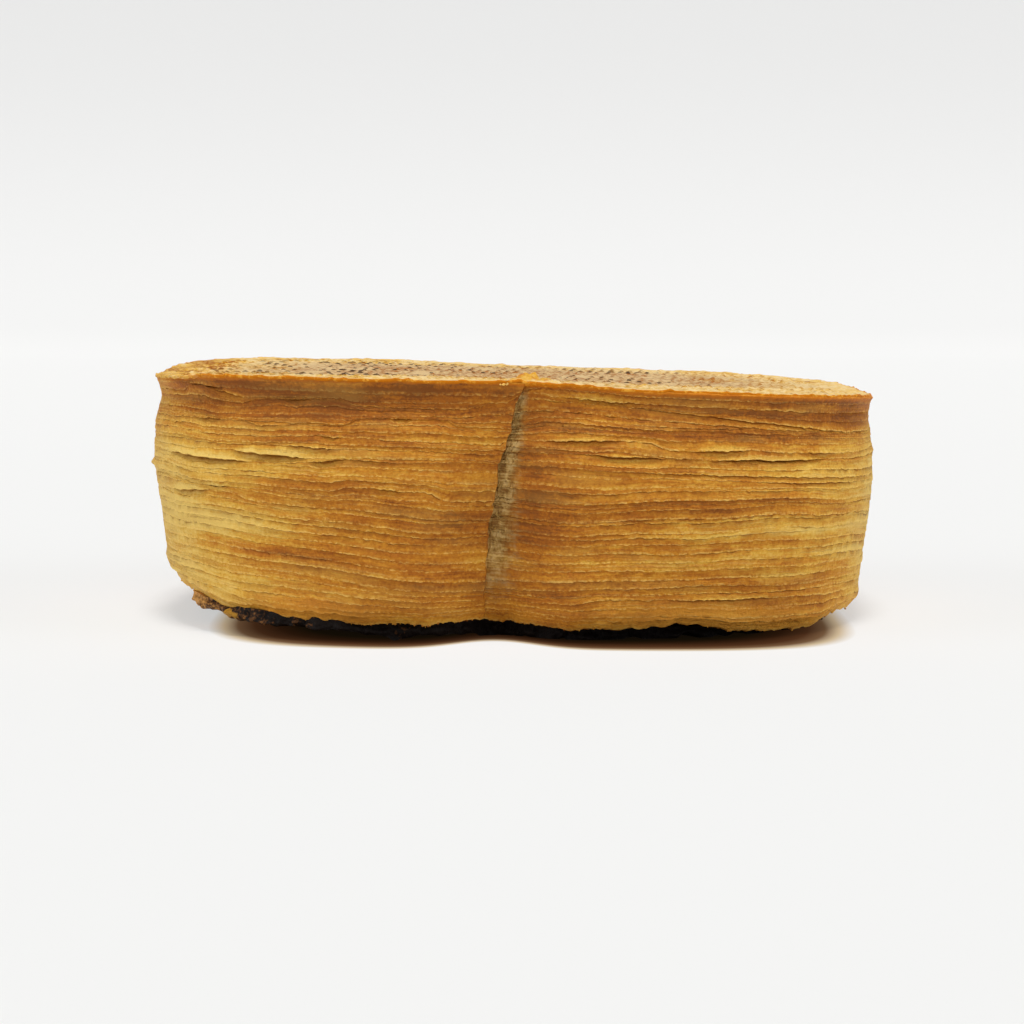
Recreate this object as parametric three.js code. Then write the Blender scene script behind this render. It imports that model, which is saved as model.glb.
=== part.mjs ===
// Whole custard tart, turned out so that its flat pastry base is on top.
// A strip of puff pastry stands on edge round the custard and laps over itself at a seam in front.
// Its leaves lie level and open downwards like shingles, and some have parted into long slits.
// The custard fills the case and its browned skin swells out underneath, where the tart rests.
// Millimetres, +Z up, seam towards -Y, origin under the middle of the tart on the surface it stands on.
import * as THREE from "three";

const DEGREE = Math.PI / 180;

// Plan outline: a rounded square
const HALF_WIDTH = 90.5; // middle to the base's edge along X
const HALF_DEPTH = 86; // middle to the base's edge along Y
const SQUARENESS = 2.7; // exponent of the outline: 2 is an ellipse, more is squarer

// Upper edge of the base: it leans, bows and ripples, by angle round the tart
const RIM_HEIGHT = 59.3; // mean height
const RIM_LEAN = 3.35; // rise above the mean at the high side
const RIM_LEAN_ANGLE = -93 * DEGREE; // where it is highest
const RIM_BOW = 1.05; // front and back above the sides
const RIM_RIPPLE = 0.8; // three shallow humps, one of them in front

// Lower edge of the wall: lifted clear of the surface, most of all on the left
const FOOT_HEIGHT = 3.6;
const FOOT_LEAN = 1.4; // rise towards the left
const FOOT_LEAN_ANGLE = -90 * DEGREE;
const FOOT_LIFT = 4.6; // further rise at the front left
const FOOT_LIFT_ANGLE = -70 * DEGREE;
const FOOT_LIFT_SPREAD = 33 * DEGREE;
const FOOT_PINCH = 1.2; // rise in the seam's crease

// Upright section of the wall, as distances in or out from the plan outline
const TAPER = 3.6; // how far the wall draws in towards its foot
const TAPER_CURVE = 2.2;
const BELLY = 0.9; // swelling above the middle
const BELLY_AT = 0.58; // as a share of the wall's height
const BELLY_SPREAD = 0.2;
const NECK = 1.5; // waist under the base's lip
const NECK_AT = 0.91;
const NECK_SPREAD = 0.08;
const FOOT_TUCK = 2.2; // rounding of the foot
const FOOT_TUCK_SPREAD = 0.03;
const WALL_THICKNESS = 11;

// Leaves of the puff pastry
const LEAVES = 22;
const LEAF_UNEVENNESS = 0.45; // share by which a leaf is thicker or thinner than the mean
const LIP = 0.28; // how far a leaf's lower lip stands out, and its root sinks in
const LIP_OVERHANG = 0.35; // drop from a lip to the root of the leaf below it
const LEAF_DRIFT = 0.4; // how far the leaves at half height wander up and down
const LONG_DRIFT = { waves: 7, slant: 5, size: 1 };
const SHORT_DRIFT = { waves: 17, slant: -9, size: 0.6 };
const LEAF_SWAY = 0.35; // how far single leaves stand out or sink in
const SWAY_WAVES = 3; // fewest waves of a leaf round the tart
const SWAY_KINDS = 4; // leaves with 3, 4, 5 and 6 waves follow each other
const SWAY_TURN = 2.4; // each leaf's waves start this much further round, in radians
const SAG = 3.6; // dip of the leaves at the seam
const SAG_ANGLE = -4 * DEGREE;
const SAG_SPREAD = 18 * DEGREE;
const SAG_FULL = { from: 0.2, to: 0.5 }; // shares of the wall's height where they dip most
const SAG_END = 0.85; // above this share they run level again

// Slits between parted leaves: [angle, share of the wall's height, half length, opening], angles in degrees
const SLITS = [
  [-51, 0.69, 14, 2.0],
  [-37, 0.7, 16, 1.8],
  [-62, 0.51, 10, 1.2],
  [-31, 0.76, 10, 0.8],
  [11, 0.77, 9, 1.0],
  [18, 0.72, 8, 1.2],
  [38, 0.74, 15, 1.5],
  [46, 0.63, 13, 1.1],
  [20, 0.93, 15, 0.9],
  [32, 0.13, 11, 0.9],
];
const MORE_SLITS = 12; // spread by chance over the sides and the back
const MORE_SLITS_FROM = 80;
const MORE_SLITS_TO = 280;
const MORE_SLITS_HEIGHT = { low: 0.15, high: 0.9 };
const MORE_SLITS_HALF_LENGTH = { low: 6, high: 15 };
const MORE_SLITS_OPENING = { low: 0.6, high: 1.6 };
const SLIT_DEPTH = 1.6; // how far a slit of 1 mm runs in
const SLIT_FLARE = 0.25; // how far its upper lip turns out
const SLIT_LIMIT = 0.7; // most of a leaf's thickness that a slit takes up

// Seam: the left end of the strip laps over the right end, in a crease of the wall
const SEAM_LOW = -8.4; // along the front from the middle, at the foot
const SEAM_SLANT = 10.8; // how far it moves to the right by the top
const SEAM_HOLD = 20 * DEGREE; // how far round the seam still draws the leaves with it
const LAP = 1.7; // step down from the upper end to the lower one
const LAP_FADE = 13; // distance over which the lower end comes out again
const CREASE_FOOT = 10.5; // depth of the crease at the foot
const CREASE_TOP = 3; // and at the top
const CREASE_SPREAD = 13;
const CREASE_CENTRE = -4.5 / HALF_DEPTH;

// Base and custard
const BASE_THICKNESS = 2;
const BASE_ROUNDING = 0.8;
const GAP = 0.3; // left between neighbours
const REST_SHARE = 0.6; // share of the underside that is flat
const SKIN_SET_BACK = 9; // the custard's skin ends this far inside the wall's foot
const FLUSH_SET_BACK = 0.8; // and this far at the front left, where it comes out
const FLUSH_ANGLE = -42 * DEGREE;
const FLUSH_SPREAD = 22 * DEGREE;
const SKIN_ROUNDING = 1;
const SWELL_AT = 0.7; // place between the flat and the skin's edge
const SWELL_RISE = 0.1; // height there, as a share of the foot's
const SKIN_RISE = 0.3; // height of the skin's edge, as a share of the foot's

// Columns of points round the tart, closest together at the seam
const COLUMNS = 104;
const CROWDING = 0.75;

const PASTRY = { color: 0xc98a3a, roughness: 0.75, metalness: 0 };
const BASE_PASTRY = { color: 0xb9803f, roughness: 0.6, metalness: 0 };
const CUSTARD = { color: 0x5a3414, roughness: 0.45, metalness: 0 };

const lerp = THREE.MathUtils.lerp;
const hump = (distance, spread) => Math.exp(-((distance / spread) ** 2));

// A repeatable random number from 0 to 1
function chance(seed) {
  const value = Math.sin(seed * 127.1 + 311.7) * 43758.5453;
  return value - Math.floor(value);
}

// The short way round from one angle to another
function turn(from, to) {
  const whole = 2 * Math.PI;
  return THREE.MathUtils.euclideanModulo(to - from + Math.PI, whole) - Math.PI;
}

// Angles are taken from the front, -Y, towards the right, +X
function planRadius(angle) {
  const along = Math.abs(Math.cos(angle)) / HALF_DEPTH;
  const across = Math.abs(Math.sin(angle)) / HALF_WIDTH;
  return (along ** SQUARENESS + across ** SQUARENESS) ** (-1 / SQUARENESS);
}

const creaseShape = (angle) => hump(turn(CREASE_CENTRE, angle) * HALF_DEPTH, CREASE_SPREAD);
const crease = (angle, share) => lerp(CREASE_FOOT, CREASE_TOP, share) * creaseShape(angle);

function rimHeight(angle) {
  const lean = RIM_LEAN * Math.cos(angle - RIM_LEAN_ANGLE);
  return RIM_HEIGHT + lean + RIM_BOW * Math.cos(2 * angle) + RIM_RIPPLE * Math.cos(3 * angle);
}

function footHeight(angle) {
  const lean = FOOT_LEAN * Math.cos(turn(FOOT_LEAN_ANGLE, angle));
  const lift = FOOT_LIFT * hump(turn(FOOT_LIFT_ANGLE, angle), FOOT_LIFT_SPREAD);
  return FOOT_HEIGHT + lean + lift + FOOT_PINCH * creaseShape(angle);
}

function section(share) {
  return (
    BELLY * hump(share - BELLY_AT, BELLY_SPREAD) -
    TAPER * (1 - share) ** TAPER_CURVE -
    NECK * hump(share - NECK_AT, NECK_SPREAD) -
    FOOT_TUCK * Math.exp(-share / FOOT_TUCK_SPREAD)
  );
}

// Base: its edge, and the height of its upper face, which rises evenly from the middle to the edge
const baseRadius = (angle) => planRadius(angle) - crease(angle, 1);
const topHeight = (angle, radius) => lerp(RIM_HEIGHT, rimHeight(angle), radius / baseRadius(angle));
const underBase = (angle, radius) => topHeight(angle, radius) - BASE_THICKNESS - GAP;

const wallRadius = (angle, share) => planRadius(angle) - crease(angle, share) + section(share);
const innerRadius = (angle) => planRadius(angle) - crease(angle, 0.5) - TAPER - WALL_THICKNESS;

// Shares of the wall's height at which the leaves meet, from the foot to the top
function leafJoints() {
  const joints = [0];
  for (let leaf = 0; leaf < LEAVES; leaf++) {
    const thickness = 1 + LEAF_UNEVENNESS * (2 * chance(leaf) - 1);
    joints.push(joints[leaf] + thickness);
  }
  return joints.map((height) => height / joints[LEAVES]);
}
const JOINTS = leafJoints();

const between = ({ low, high }, seed) => lerp(low, high, chance(seed));

function allSlits() {
  const slits = [...SLITS];
  for (let i = 0; i < MORE_SLITS; i++) {
    const place = (i + chance(i + 40)) / MORE_SLITS;
    slits.push([
      lerp(MORE_SLITS_FROM, MORE_SLITS_TO, place),
      between(MORE_SLITS_HEIGHT, i + 60),
      between(MORE_SLITS_HALF_LENGTH, i + 80),
      between(MORE_SLITS_OPENING, i + 100),
    ]);
  }
  return slits.map(([angle, share, halfLength, opening]) => ({
    leaf: JOINTS.findIndex((joint) => joint >= share),
    angle: angle * DEGREE,
    halfLength: halfLength * DEGREE,
    opening,
  }));
}
const ALL_SLITS = allSlits();

// How far the joint under a leaf has opened there
function slitOpening(leaf, angle) {
  return ALL_SLITS.filter((slit) => slit.leaf === leaf).reduce((open, slit) => {
    const reach = turn(slit.angle, angle) / slit.halfLength;
    return open + slit.opening * Math.max(0, 1 - reach * reach);
  }, 0);
}

// How far the leaves dip at the seam
function leafSag(share, angle) {
  const { smoothstep } = THREE.MathUtils;
  const low = smoothstep(share, 0, SAG_FULL.from);
  const high = 1 - smoothstep(share, SAG_FULL.to, SAG_END);
  return SAG * low * high * hump(turn(SAG_ANGLE, angle), SAG_SPREAD);
}

// Height of a joint between leaves, which wanders with its neighbours but not at the foot and the top
function jointHeight(leaf, angle) {
  const share = JOINTS[leaf];
  const even = lerp(footHeight(angle), underBase(angle, wallRadius(angle, 1)), share);
  const drift = [LONG_DRIFT, SHORT_DRIFT].reduce(
    (sum, { waves, slant, size }) => sum + size * Math.sin(waves * angle + slant * share),
    0
  );
  return even + LEAF_DRIFT * drift * 4 * share * (1 - share) - leafSag(share, angle);
}

// How far the lower end of the strip lies behind the lapping end
function lapStep(column) {
  return column > 0 ? LAP * Math.exp((-column * HALF_DEPTH) / LAP_FADE) : 0;
}

// Near the seam the points of the wall follow its slant
function seamTurn(column, share) {
  const shift = SEAM_LOW + SEAM_SLANT * share * share;
  return column + (shift / HALF_DEPTH) * hump(column, SEAM_HOLD);
}

function leafSway(leaf, angle) {
  return LEAF_SWAY * Math.sin((SWAY_WAVES + (leaf % SWAY_KINDS)) * angle + SWAY_TURN * leaf);
}

// A ring is a function from a column's angle to the angle, radius and height of its point.
// The lower lip of a leaf stands out, and its root lies back under the lip of the next leaf.
function lipRing(leaf) {
  return (column) => {
    const share = JOINTS[leaf];
    const angle = seamTurn(column, share);
    const out = LIP + leafSway(leaf, angle) + SLIT_FLARE * slitOpening(leaf, angle) - lapStep(column);
    return { angle, radius: wallRadius(angle, share) + out, height: jointHeight(leaf, angle) };
  };
}

function rootRing(leaf) {
  return (column) => {
    const share = JOINTS[leaf + 1];
    const angle = seamTurn(column, share);
    const open = leaf + 1 < LEAVES ? slitOpening(leaf + 1, angle) : 0;
    const sunk = LIP - leafSway(leaf, angle) + SLIT_DEPTH * open + lapStep(column);
    const top = jointHeight(leaf + 1, angle);
    const room = SLIT_LIMIT * (top - jointHeight(leaf, angle));
    const drop = leaf + 1 < LEAVES ? Math.min(LIP_OVERHANG + open, room) : 0;
    return { angle, radius: wallRadius(angle, share) - sunk, height: top - drop };
  };
}

// A plain ring at a radius and a height, each a function of the angle
function plainRing(radiusAt, heightAt) {
  return (angle) => {
    const radius = radiusAt(angle);
    return { angle, radius, height: heightAt(angle, radius) };
  };
}

const columnAngle = (column) => {
  const share = (2 * column) / COLUMNS - 1;
  return Math.PI * share - CROWDING * Math.sin(Math.PI * share);
};

// A lathed skin whose rings are then drawn to their true places
function ringsToGeometry(rings) {
  const profile = rings.map((_, row) => new THREE.Vector2(1, row));
  const geometry = new THREE.LatheGeometry(profile, COLUMNS);
  const position = geometry.getAttribute("position");
  for (let column = 0; column <= COLUMNS; column++) {
    rings.forEach((ring, row) => {
      const { angle, radius, height } = ring(columnAngle(column));
      const vertex = column * rings.length + row;
      position.setXYZ(vertex, radius * Math.sin(angle), -radius * Math.cos(angle), height);
    });
  }
  geometry.computeVertexNormals();
  return geometry;
}

// Up the leaves outside, over the top and down inside, back to the first lip
function wallGeometry() {
  const rings = [];
  for (let leaf = 0; leaf < LEAVES; leaf++) rings.push(lipRing(leaf), rootRing(leaf));
  rings.push(plainRing(innerRadius, underBase));
  rings.push(plainRing(innerRadius, footHeight));
  rings.push(rings[0]);
  return ringsToGeometry(rings);
}

const onAxis = () => 0;

// From the middle of the underside out, round the edge and back over the top
function baseGeometry() {
  const under = (angle, radius) => topHeight(angle, radius) - BASE_THICKNESS;
  const shoulder = (angle) => baseRadius(angle) - BASE_ROUNDING;
  return ringsToGeometry([
    plainRing(onAxis, under),
    plainRing(shoulder, under),
    plainRing(baseRadius, (angle, radius) => topHeight(angle, radius) - BASE_THICKNESS / 2),
    plainRing(shoulder, topHeight),
    plainRing(onAxis, topHeight),
  ]);
}

function skinSetBack(angle) {
  return lerp(SKIN_SET_BACK, FLUSH_SET_BACK, hump(turn(FLUSH_ANGLE, angle), FLUSH_SPREAD));
}

// From the flat of the underside out along the skin, back under the wall's foot and up inside the wall
function custardGeometry() {
  const skinEdge = (angle) => wallRadius(angle, 0) - lapStep(angle) - LIP - LEAF_SWAY - skinSetBack(angle);
  const restEdge = (angle) => REST_SHARE * skinEdge(angle);
  const swell = (angle) => lerp(restEdge(angle), skinEdge(angle), SWELL_AT);
  const underFoot = (angle) => footHeight(angle) - GAP;
  const inside = (angle) => innerRadius(angle) - GAP;
  return ringsToGeometry([
    plainRing(onAxis, () => 0),
    plainRing(restEdge, () => 0),
    plainRing(swell, (angle) => SWELL_RISE * underFoot(angle)),
    plainRing(skinEdge, (angle) => SKIN_RISE * underFoot(angle)),
    plainRing((angle) => skinEdge(angle) - SKIN_ROUNDING, underFoot),
    plainRing(inside, underFoot),
    plainRing(inside, underBase),
    plainRing(onAxis, underBase),
  ]);
}

const tart = new THREE.Group();
const pieces = [
  ["pastry_wall", wallGeometry(), PASTRY],
  ["pastry_base", baseGeometry(), BASE_PASTRY],
  ["custard", custardGeometry(), CUSTARD],
];
for (const [name, geometry, finish] of pieces) {
  const mesh = new THREE.Mesh(geometry, new THREE.MeshStandardMaterial(finish));
  mesh.name = name;
  tart.add(mesh);
}

// The origin lies under the middle of the whole
const middle = new THREE.Box3().setFromObject(tart).getCenter(new THREE.Vector3());
for (const mesh of tart.children) mesh.position.set(-middle.x, -middle.y, 0);

export default tart;
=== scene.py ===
"""Deep custard tart turned out base up: pastry wall, pastry base, custard and crumbs on a plain stage."""

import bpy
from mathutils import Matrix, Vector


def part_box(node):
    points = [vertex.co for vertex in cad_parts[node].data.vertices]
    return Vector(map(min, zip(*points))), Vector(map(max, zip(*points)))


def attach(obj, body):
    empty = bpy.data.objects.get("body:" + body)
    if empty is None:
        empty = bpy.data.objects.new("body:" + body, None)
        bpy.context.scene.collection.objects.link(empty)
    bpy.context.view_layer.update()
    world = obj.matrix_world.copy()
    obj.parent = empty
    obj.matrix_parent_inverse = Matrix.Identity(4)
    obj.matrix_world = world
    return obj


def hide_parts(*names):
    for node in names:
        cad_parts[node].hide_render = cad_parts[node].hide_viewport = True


bl_info = {
    "name": "Custard Tart",
    "version": (1, 0, 0),
    "blender": (4, 5, 0),
    "location": "View3D > Sidebar > Tart",
    "description": "Dresses the solids of a deep custard tart as baked pastry and custard",
    "category": "Add Mesh",
}

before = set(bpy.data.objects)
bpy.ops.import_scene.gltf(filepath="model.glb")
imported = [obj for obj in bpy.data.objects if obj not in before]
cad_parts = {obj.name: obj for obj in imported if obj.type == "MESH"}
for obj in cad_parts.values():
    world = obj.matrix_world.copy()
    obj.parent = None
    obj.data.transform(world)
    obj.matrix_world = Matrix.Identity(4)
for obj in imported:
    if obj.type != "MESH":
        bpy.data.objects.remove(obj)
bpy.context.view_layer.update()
base_low, base_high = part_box("pastry_base")

import math

import bpy
import numpy as np
from bpy.props import FloatProperty, FloatVectorProperty, IntProperty, PointerProperty

MM = 0.001
WHOLE_TURN = 2 * math.pi

# Small distances where pieces meet
WALL_TOP_DROP = 0.2 * MM
WALL_UNDER_BASE = 2.5 * MM
CUSTARD_UNDER_BASE = 2 * MM
INNER_FOOT_RISE = 1.2 * MM
FOOT_HOLLOW = 0.25 * MM
FOOT_RETURN = 1.3 * MM
CRUMB_SINK = 0.2 * MM
WELD = 0.001 * MM

# Fine relief of the leaves
THINNEST_LEAF = 0.6 * MM
OPEN_CRACK = 0.3 * MM
FACE_RELIEF = 0.04 * MM
SEAM_JAG = 0.4 * MM
CRUMBLE_STEPS = 5

# Most of a leaf that the gap over it may take, and the share of a gap that lies below its joint
GAP_LIMIT = 0.75
GAP_BELOW = 0.3

# How far a slit brings its upper lip out and takes the root under it back, as shares of opening and depth
SLIT_LIP = 0.2
SLIT_ROOT = 0.5

# How far leaves above and below a slit give way, as shares of its opening, and over how many leaves
SLIT_ABOVE = 0.35
SLIT_BELOW = -0.65
SLIT_FADE = 2.5

# Over how many leaves the joints follow a slit's line, and in how many rounds they are moved to it
LINE_FADE = 1.2
LINE_ROUNDS = 5

# Slits drawn for the sides that the photo doesn't show
HIDDEN_SLITS = 34

# How browned the pastry is, from 0 to 1: usually, on the hidden inside, and how much less beside a slit
USUAL_TONE = 0.61
INSIDE_TONE = 0.4
SLIT_PALER = 0.35

# How the bands of leaves end: in degrees along them and as a share of the height across them
BAND_FADE = 12
BAND_SPREAD = 0.02

# Angles at which faces meet smoothly, in degrees
WALL_SMOOTH = 55
SOFT_SMOOTH = 60

# Slits between parted leaves: angle and half length in degrees, opening in mm, shares of height at both ends
SLITS = (
    (-50, 10, 1.2, 0.662, 0.655),
    (-37, 6.5, 1.3, 0.702, 0.678),
    (-30, 4, 0.55, 0.729, 0.72),
    (-27, 2, 0.35, 0.772, 0.765),
    (-27.3, 3, 0.7, 0.66, 0.653),
    (-20.5, 4.5, 0.25, 0.68, 0.664),
    (-53.5, 5.5, 0.8, 0.486, 0.512),
    (-46.4, 2.4, 0.4, 0.536, 0.536),
    (-49.5, 4, 0.5, 0.99, 0.968),
    (-46, 4, 0.5, 0.975, 0.928),
    (-48.5, 3.2, 0.45, 0.833, 0.833),
    (-33, 2.3, 0.55, 0.923, 0.923),
    (-16.8, 1.8, 0.45, 0.849, 0.849),
    (-17.5, 2.6, 0.35, 0.563, 0.54),
    (13, 6.5, 0.5, 0.95, 0.946),
    (36, 20, 0.3, 0.93, 0.865),
    (11.5, 5.5, 0.6, 0.77, 0.79),
    (18, 5, 0.8, 0.724, 0.726),
    (31.3, 4, 0.7, 0.76, 0.772),
    (40, 10, 1.0, 0.727, 0.745),
    (48.7, 3.4, 0.45, 0.77, 0.77),
    (35, 26, 0.3, 0.665, 0.66),
    (48, 12, 0.4, 0.64, 0.635),
    (33.5, 8.5, 0.45, 0.13, 0.13),
    (-70, 12, 0.7, 0.07, 0.07),
)

# Notches and sags of the wall's lower edge: angle and half length in degrees, rise in mm
FOOT_NOTCHES = (
    (-40, 14, -0.9),
    (-48, 6, -1.3),
    (-6, 5, -0.7),
    (4, 7, -0.35),
    (-30.5, 0.7, -0.6),
    (-33.5, 1.0, -0.4),
    (9, 0.9, -0.4),
    (29, 5, 1.3),
    (-46, 4, -0.7),
    (39.5, 7, -1.5),
    (51, 6, -1.6),
    (61, 8, 1.7),
)

# Places where the rim stands higher or lower: angle and half length in degrees, rise in mm
RIM_LIFTS = (
    (-93, 20, -0.85),
    (-42, 19, 1.05),
    (18, 8, -0.4),
    (60, 30, 1.35),
)

# Places where the wall is browner or paler, a few of them painted light or shade as marked: angle, share,
# half angle, half share, how much; angles in degrees
TONES_WITH_PAINTED_LIGHT_AND_SHADE = (
    (-26, 0.955, 25, 0.06, 0.4),
    (-47, 0.98, 11, 0.045, 0.24),
    (-32, 0.875, 24, 0.045, 0.3),
    (-52, 0.89, 8, 0.03, 0.14),
    (48, 0.92, 30, 0.045, 0.34),
    (52, 0.99, 34, 0.04, 0.36),
    (36, 0.83, 30, 0.05, 0.18),
    # Paler towards the left end: partly the pastry's own colour, partly painted light from the side
    (-66, 0.36, 26, 0.42, -0.62),
    (-44, 0.4, 15, 0.06, -0.3),
    (-50, 0.1, 16, 0.08, -0.2),
    (-48, 0.65, 18, 0.06, -0.2),
    # Paler towards the right end: partly the pastry's own colour, partly painted light from the side
    (72, 0.45, 24, 0.5, -0.5),
    (-14, 0.5, 24, 0.4, 0.1),
    # Painted shade in the crease right of the seam
    (3.5, 0.5, 6, 0.3, 0.27),
    (-8, 0.14, 9, 0.06, 0.18),
    (11, 0.94, 9, 0.05, -0.14),
    (-30, 0.055, 13, 0.04, 0.26),
    (-32.5, 0.4, 1.3, 0.012, 0.3),
    (18, 0.775, 2.6, 0.014, -0.6),
)

# Places along the wall's foot painted paler, as painted light on faces that turn down and get little light:
# angle and half length in degrees, how much
PAINTED_FOOT_LIGHT = ((-31, 10, 0.75), (33, 19, 1.0))

# Single bands of leaves that came out redder or yellower: share, from angle, to angle, how much
BANDS = (
    (0.27, -60, -4, 0.2),
    (0.55, 6, 66, 0.16),
    (0.19, 36, 64, 0.2),
    (0.84, 20, 60, 0.12),
    (0.68, 22, 66, -0.2),
    (0.41, 18, 70, -0.3),
    (0.32, 24, 72, -0.2),
    (0.63, -60, -12, -0.08),
    (0.1, -60, -20, -0.1),
)

# Places at the custard's edge where its skin is thin: angle and half length in degrees, how much
RAW_SPOTS = ((-46.3, 2.2, 1), (140, 3, 1), (205, 2, 1), (250, 2.5, 1))

# Raggedness of the skin's edge outwards and then upwards: knots in a whole turn and strength of each layer
EDGE_LAYERS = (((60, 1), (170, 0.6)), ((120, 1), (320, 0.7)))

# Painted shade under the tart, in the floor's colour and glow: share of the way out to its edge, and how much
# of the floor's colour is left there
PAINTED_SHADE_STOPS = (
    (0.63, (0.008, 0.006, 0.004)),
    (0.77, (0.012, 0.0075, 0.003)),
    (0.84, (0.036, 0.014, 0.0055)),
    (0.9, (0.085, 0.034, 0.014)),
    (0.94, (0.19, 0.105, 0.053)),
    (0.97, (0.685, 0.548, 0.367)),
    (1.0, (1.0, 1.0, 1.0)),
)

# Flakes that stand out or are missing: angle, share, half angle, half share, how far in mm; angles in degrees
FLAKES = (
    (-80, 0.57, 9, 0.018, 1.1),
    (80, 0.765, 9, 0.02, 0.5),
    (-80, 0.11, 16, 0.03, 0.6),
    (-78, 0.03, 16, 0.03, -1.1),
    (70, 0.07, 9, 0.025, 0.7),
    (-60, 0.985, 9, 0.012, 0.5),
)


def length(label, millimetres, note):
    return FloatProperty(name=label, description=note, default=millimetres * MM, unit="LENGTH", precision=5)


def share(label, value, note):
    return FloatProperty(name=label, description=note, default=value, subtype="FACTOR")


def turned(label, degrees, note):
    return FloatProperty(name=label, description=note, default=math.radians(degrees), subtype="ANGLE")


def number(label, value, note):
    return FloatProperty(name=label, description=note, default=value)


def count(label, value, note):
    return IntProperty(name=label, description=note, default=value, min=1)


def colour(label, value, note):
    return FloatVectorProperty(name=label, description=note, default=value, subtype="COLOR", min=0, max=1)


class TartPlan(bpy.types.PropertyGroup):
    """Outline and upright section of the whole tart."""

    half_width: length("Half width", (base_high.x - base_low.x) / 2 / MM, "Middle to the base's edge, across")
    half_depth: length("Half depth", 86, "Middle to the base's edge, front to back")
    squareness: number("Squareness", 2.7, "Exponent of the outline: 2 is an ellipse")
    rim_height: length("Rim height", 59.3, "Mean height of the base's upper edge")
    rim_lean: length("Rim lean", 3.35, "Rise of the rim at its high side")
    rim_lean_angle: turned("Rim lean angle", -93, "Where the rim is highest")
    rim_bow: length("Rim bow", 1.05, "Front and back above the sides")
    rim_ripple: length("Rim ripple", 0.8, "Three shallow humps round the rim")
    foot_height: length("Foot height", 3.6, "Height of the wall's lower edge")
    foot_lean: length("Foot lean", 1.4, "Rise of the foot towards the left")
    foot_lift: length("Foot lift", 4.6, "Further rise at the front left")
    foot_lift_angle: turned("Foot lift angle", -70, "Where the lift is highest")
    foot_lift_spread: turned("Foot lift spread", 33, "How far round the lift reaches")
    foot_pinch: length("Foot pinch", 1.2, "Rise of the foot in the seam's crease")
    foot_ragged: length("Foot raggedness", 0.35, "Unevenness of the lower edge")
    taper: length("Taper", 3.6, "How far the wall draws in towards its foot")
    taper_curve: number("Taper curve", 2.2, "Exponent of the taper")
    belly: length("Belly", 0.9, "Swelling above the middle")
    belly_at: share("Belly place", 0.58, "Share of the wall's height")
    belly_spread: share("Belly spread", 0.2, "Share of the wall's height")
    neck: length("Neck", 1.5, "Waist under the base's edge, on the left")
    neck_right: share("Neck on the right", 0.5, "Waist there as a share of the left one")
    neck_at: share("Neck place", 0.91, "Share of the wall's height")
    neck_spread: share("Neck spread", 0.08, "Share of the wall's height")
    foot_tuck: length("Foot tuck", 2.2, "Rounding of the foot")
    foot_tuck_spread: share("Foot tuck spread", 0.03, "Share of the wall's height")
    wall_thickness: length("Wall thickness", 11, "Pastry between the outside and the custard")
    gap: length("Gap", 0.3, "Room between neighbouring pieces")
    flare: length("Flare", 0.3, "How far the wall's top turns out under the base's edge")
    flare_spread: share("Flare spread", 0.05, "Share of the wall's height")
    lip_left: length("Rim lip on the left", 1.0, "Depth of the orange lip round the rim")
    lip_right: length("Rim lip on the right", 1.25, "Depth of the orange lip round the rim")
    roll: length("Roll", 0.45, "How far the lip on the right bulges out")


class TartSeam(bpy.types.PropertyGroup):
    """The lapped seam and the crease it lies in."""

    low: length("Place at the foot", -8.4, "Along the front from the middle")
    slant: length("Slant", 10.8, "How far the seam moves to the right by the top")
    hold: turned("Hold", 20, "How far round the seam draws the leaves with it")
    lap: length("Lap", 1.2, "Step from the upper end of the strip down to the lower one")
    lap_fade: length("Lap fade", 13, "Distance over which the lower end comes out again")
    mismatch: length("Mismatch", 1.1, "How far the leaves of the two ends are out of line")
    strip_top: length("Bare strip at the top", 1.6, "Width of the pale covered strip")
    strip_foot: length("Bare strip at the foot", 6.6, "Width of the pale covered strip")
    crease_foot: length("Crease at the foot", 10.5, "Depth of the crease")
    crease_top: length("Crease at the top", 3, "Depth of the crease")
    crease_spread: length("Crease spread", 13, "Half width of the crease")
    crease_place: length("Crease place", -4.5, "Along the front from the middle")


class TartLeaves(bpy.types.PropertyGroup):
    """The leaves of the puff pastry and the points that draw them."""

    leaves: count("Leaves", 36, "Leaves from the foot to the top")
    unevenness: share("Unevenness", 0.5, "Share by which leaves differ in thickness")
    lip: length("Lip", 0.08, "How far a leaf's lower lip stands out")
    sink: length("Sink", 0.02, "How far its root lies back")
    drift: length("Drift", 0.4, "How far leaves wander up and down")
    stray: length("Stray", 0.22, "How far single joints wander up and down on their own")
    top_leaf: length("Top leaf", 2.6, "How much thicker the top leaf is left of the seam")
    top_leaf_right: length("Top leaf on the right", 0.8, "How much thicker it is right of the seam")
    sag: length("Sag", 3.6, "Dip of the leaves at the seam")
    sag_angle: turned("Sag angle", -4, "Middle of the dip")
    sag_spread: turned("Sag spread", 18, "Half width of the dip")
    sway: length("Sway", 0.1, "How far single leaves stand out or sink in")
    jag: length("Jag", 0.15, "Up and down raggedness of the lips")
    crack: length("Crack", 0.21, "Usual opening of the cracks under the lips")
    crack_depth: length("Crack depth", 0.1, "Usual depth of the cracks")
    slit_depth: number("Slit depth", 1.2, "Depth of a slit for each millimetre it opens")
    crumble: length("Crumble", 0.32, "Roughness of the strip that the lap covered")
    columns: count("Columns", 670, "Points round the tart")
    crowding: share("Crowding", 0.68, "How much closer together they are at the seam")
    seed: count("Seed", 7, "Start of the random draws")


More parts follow.
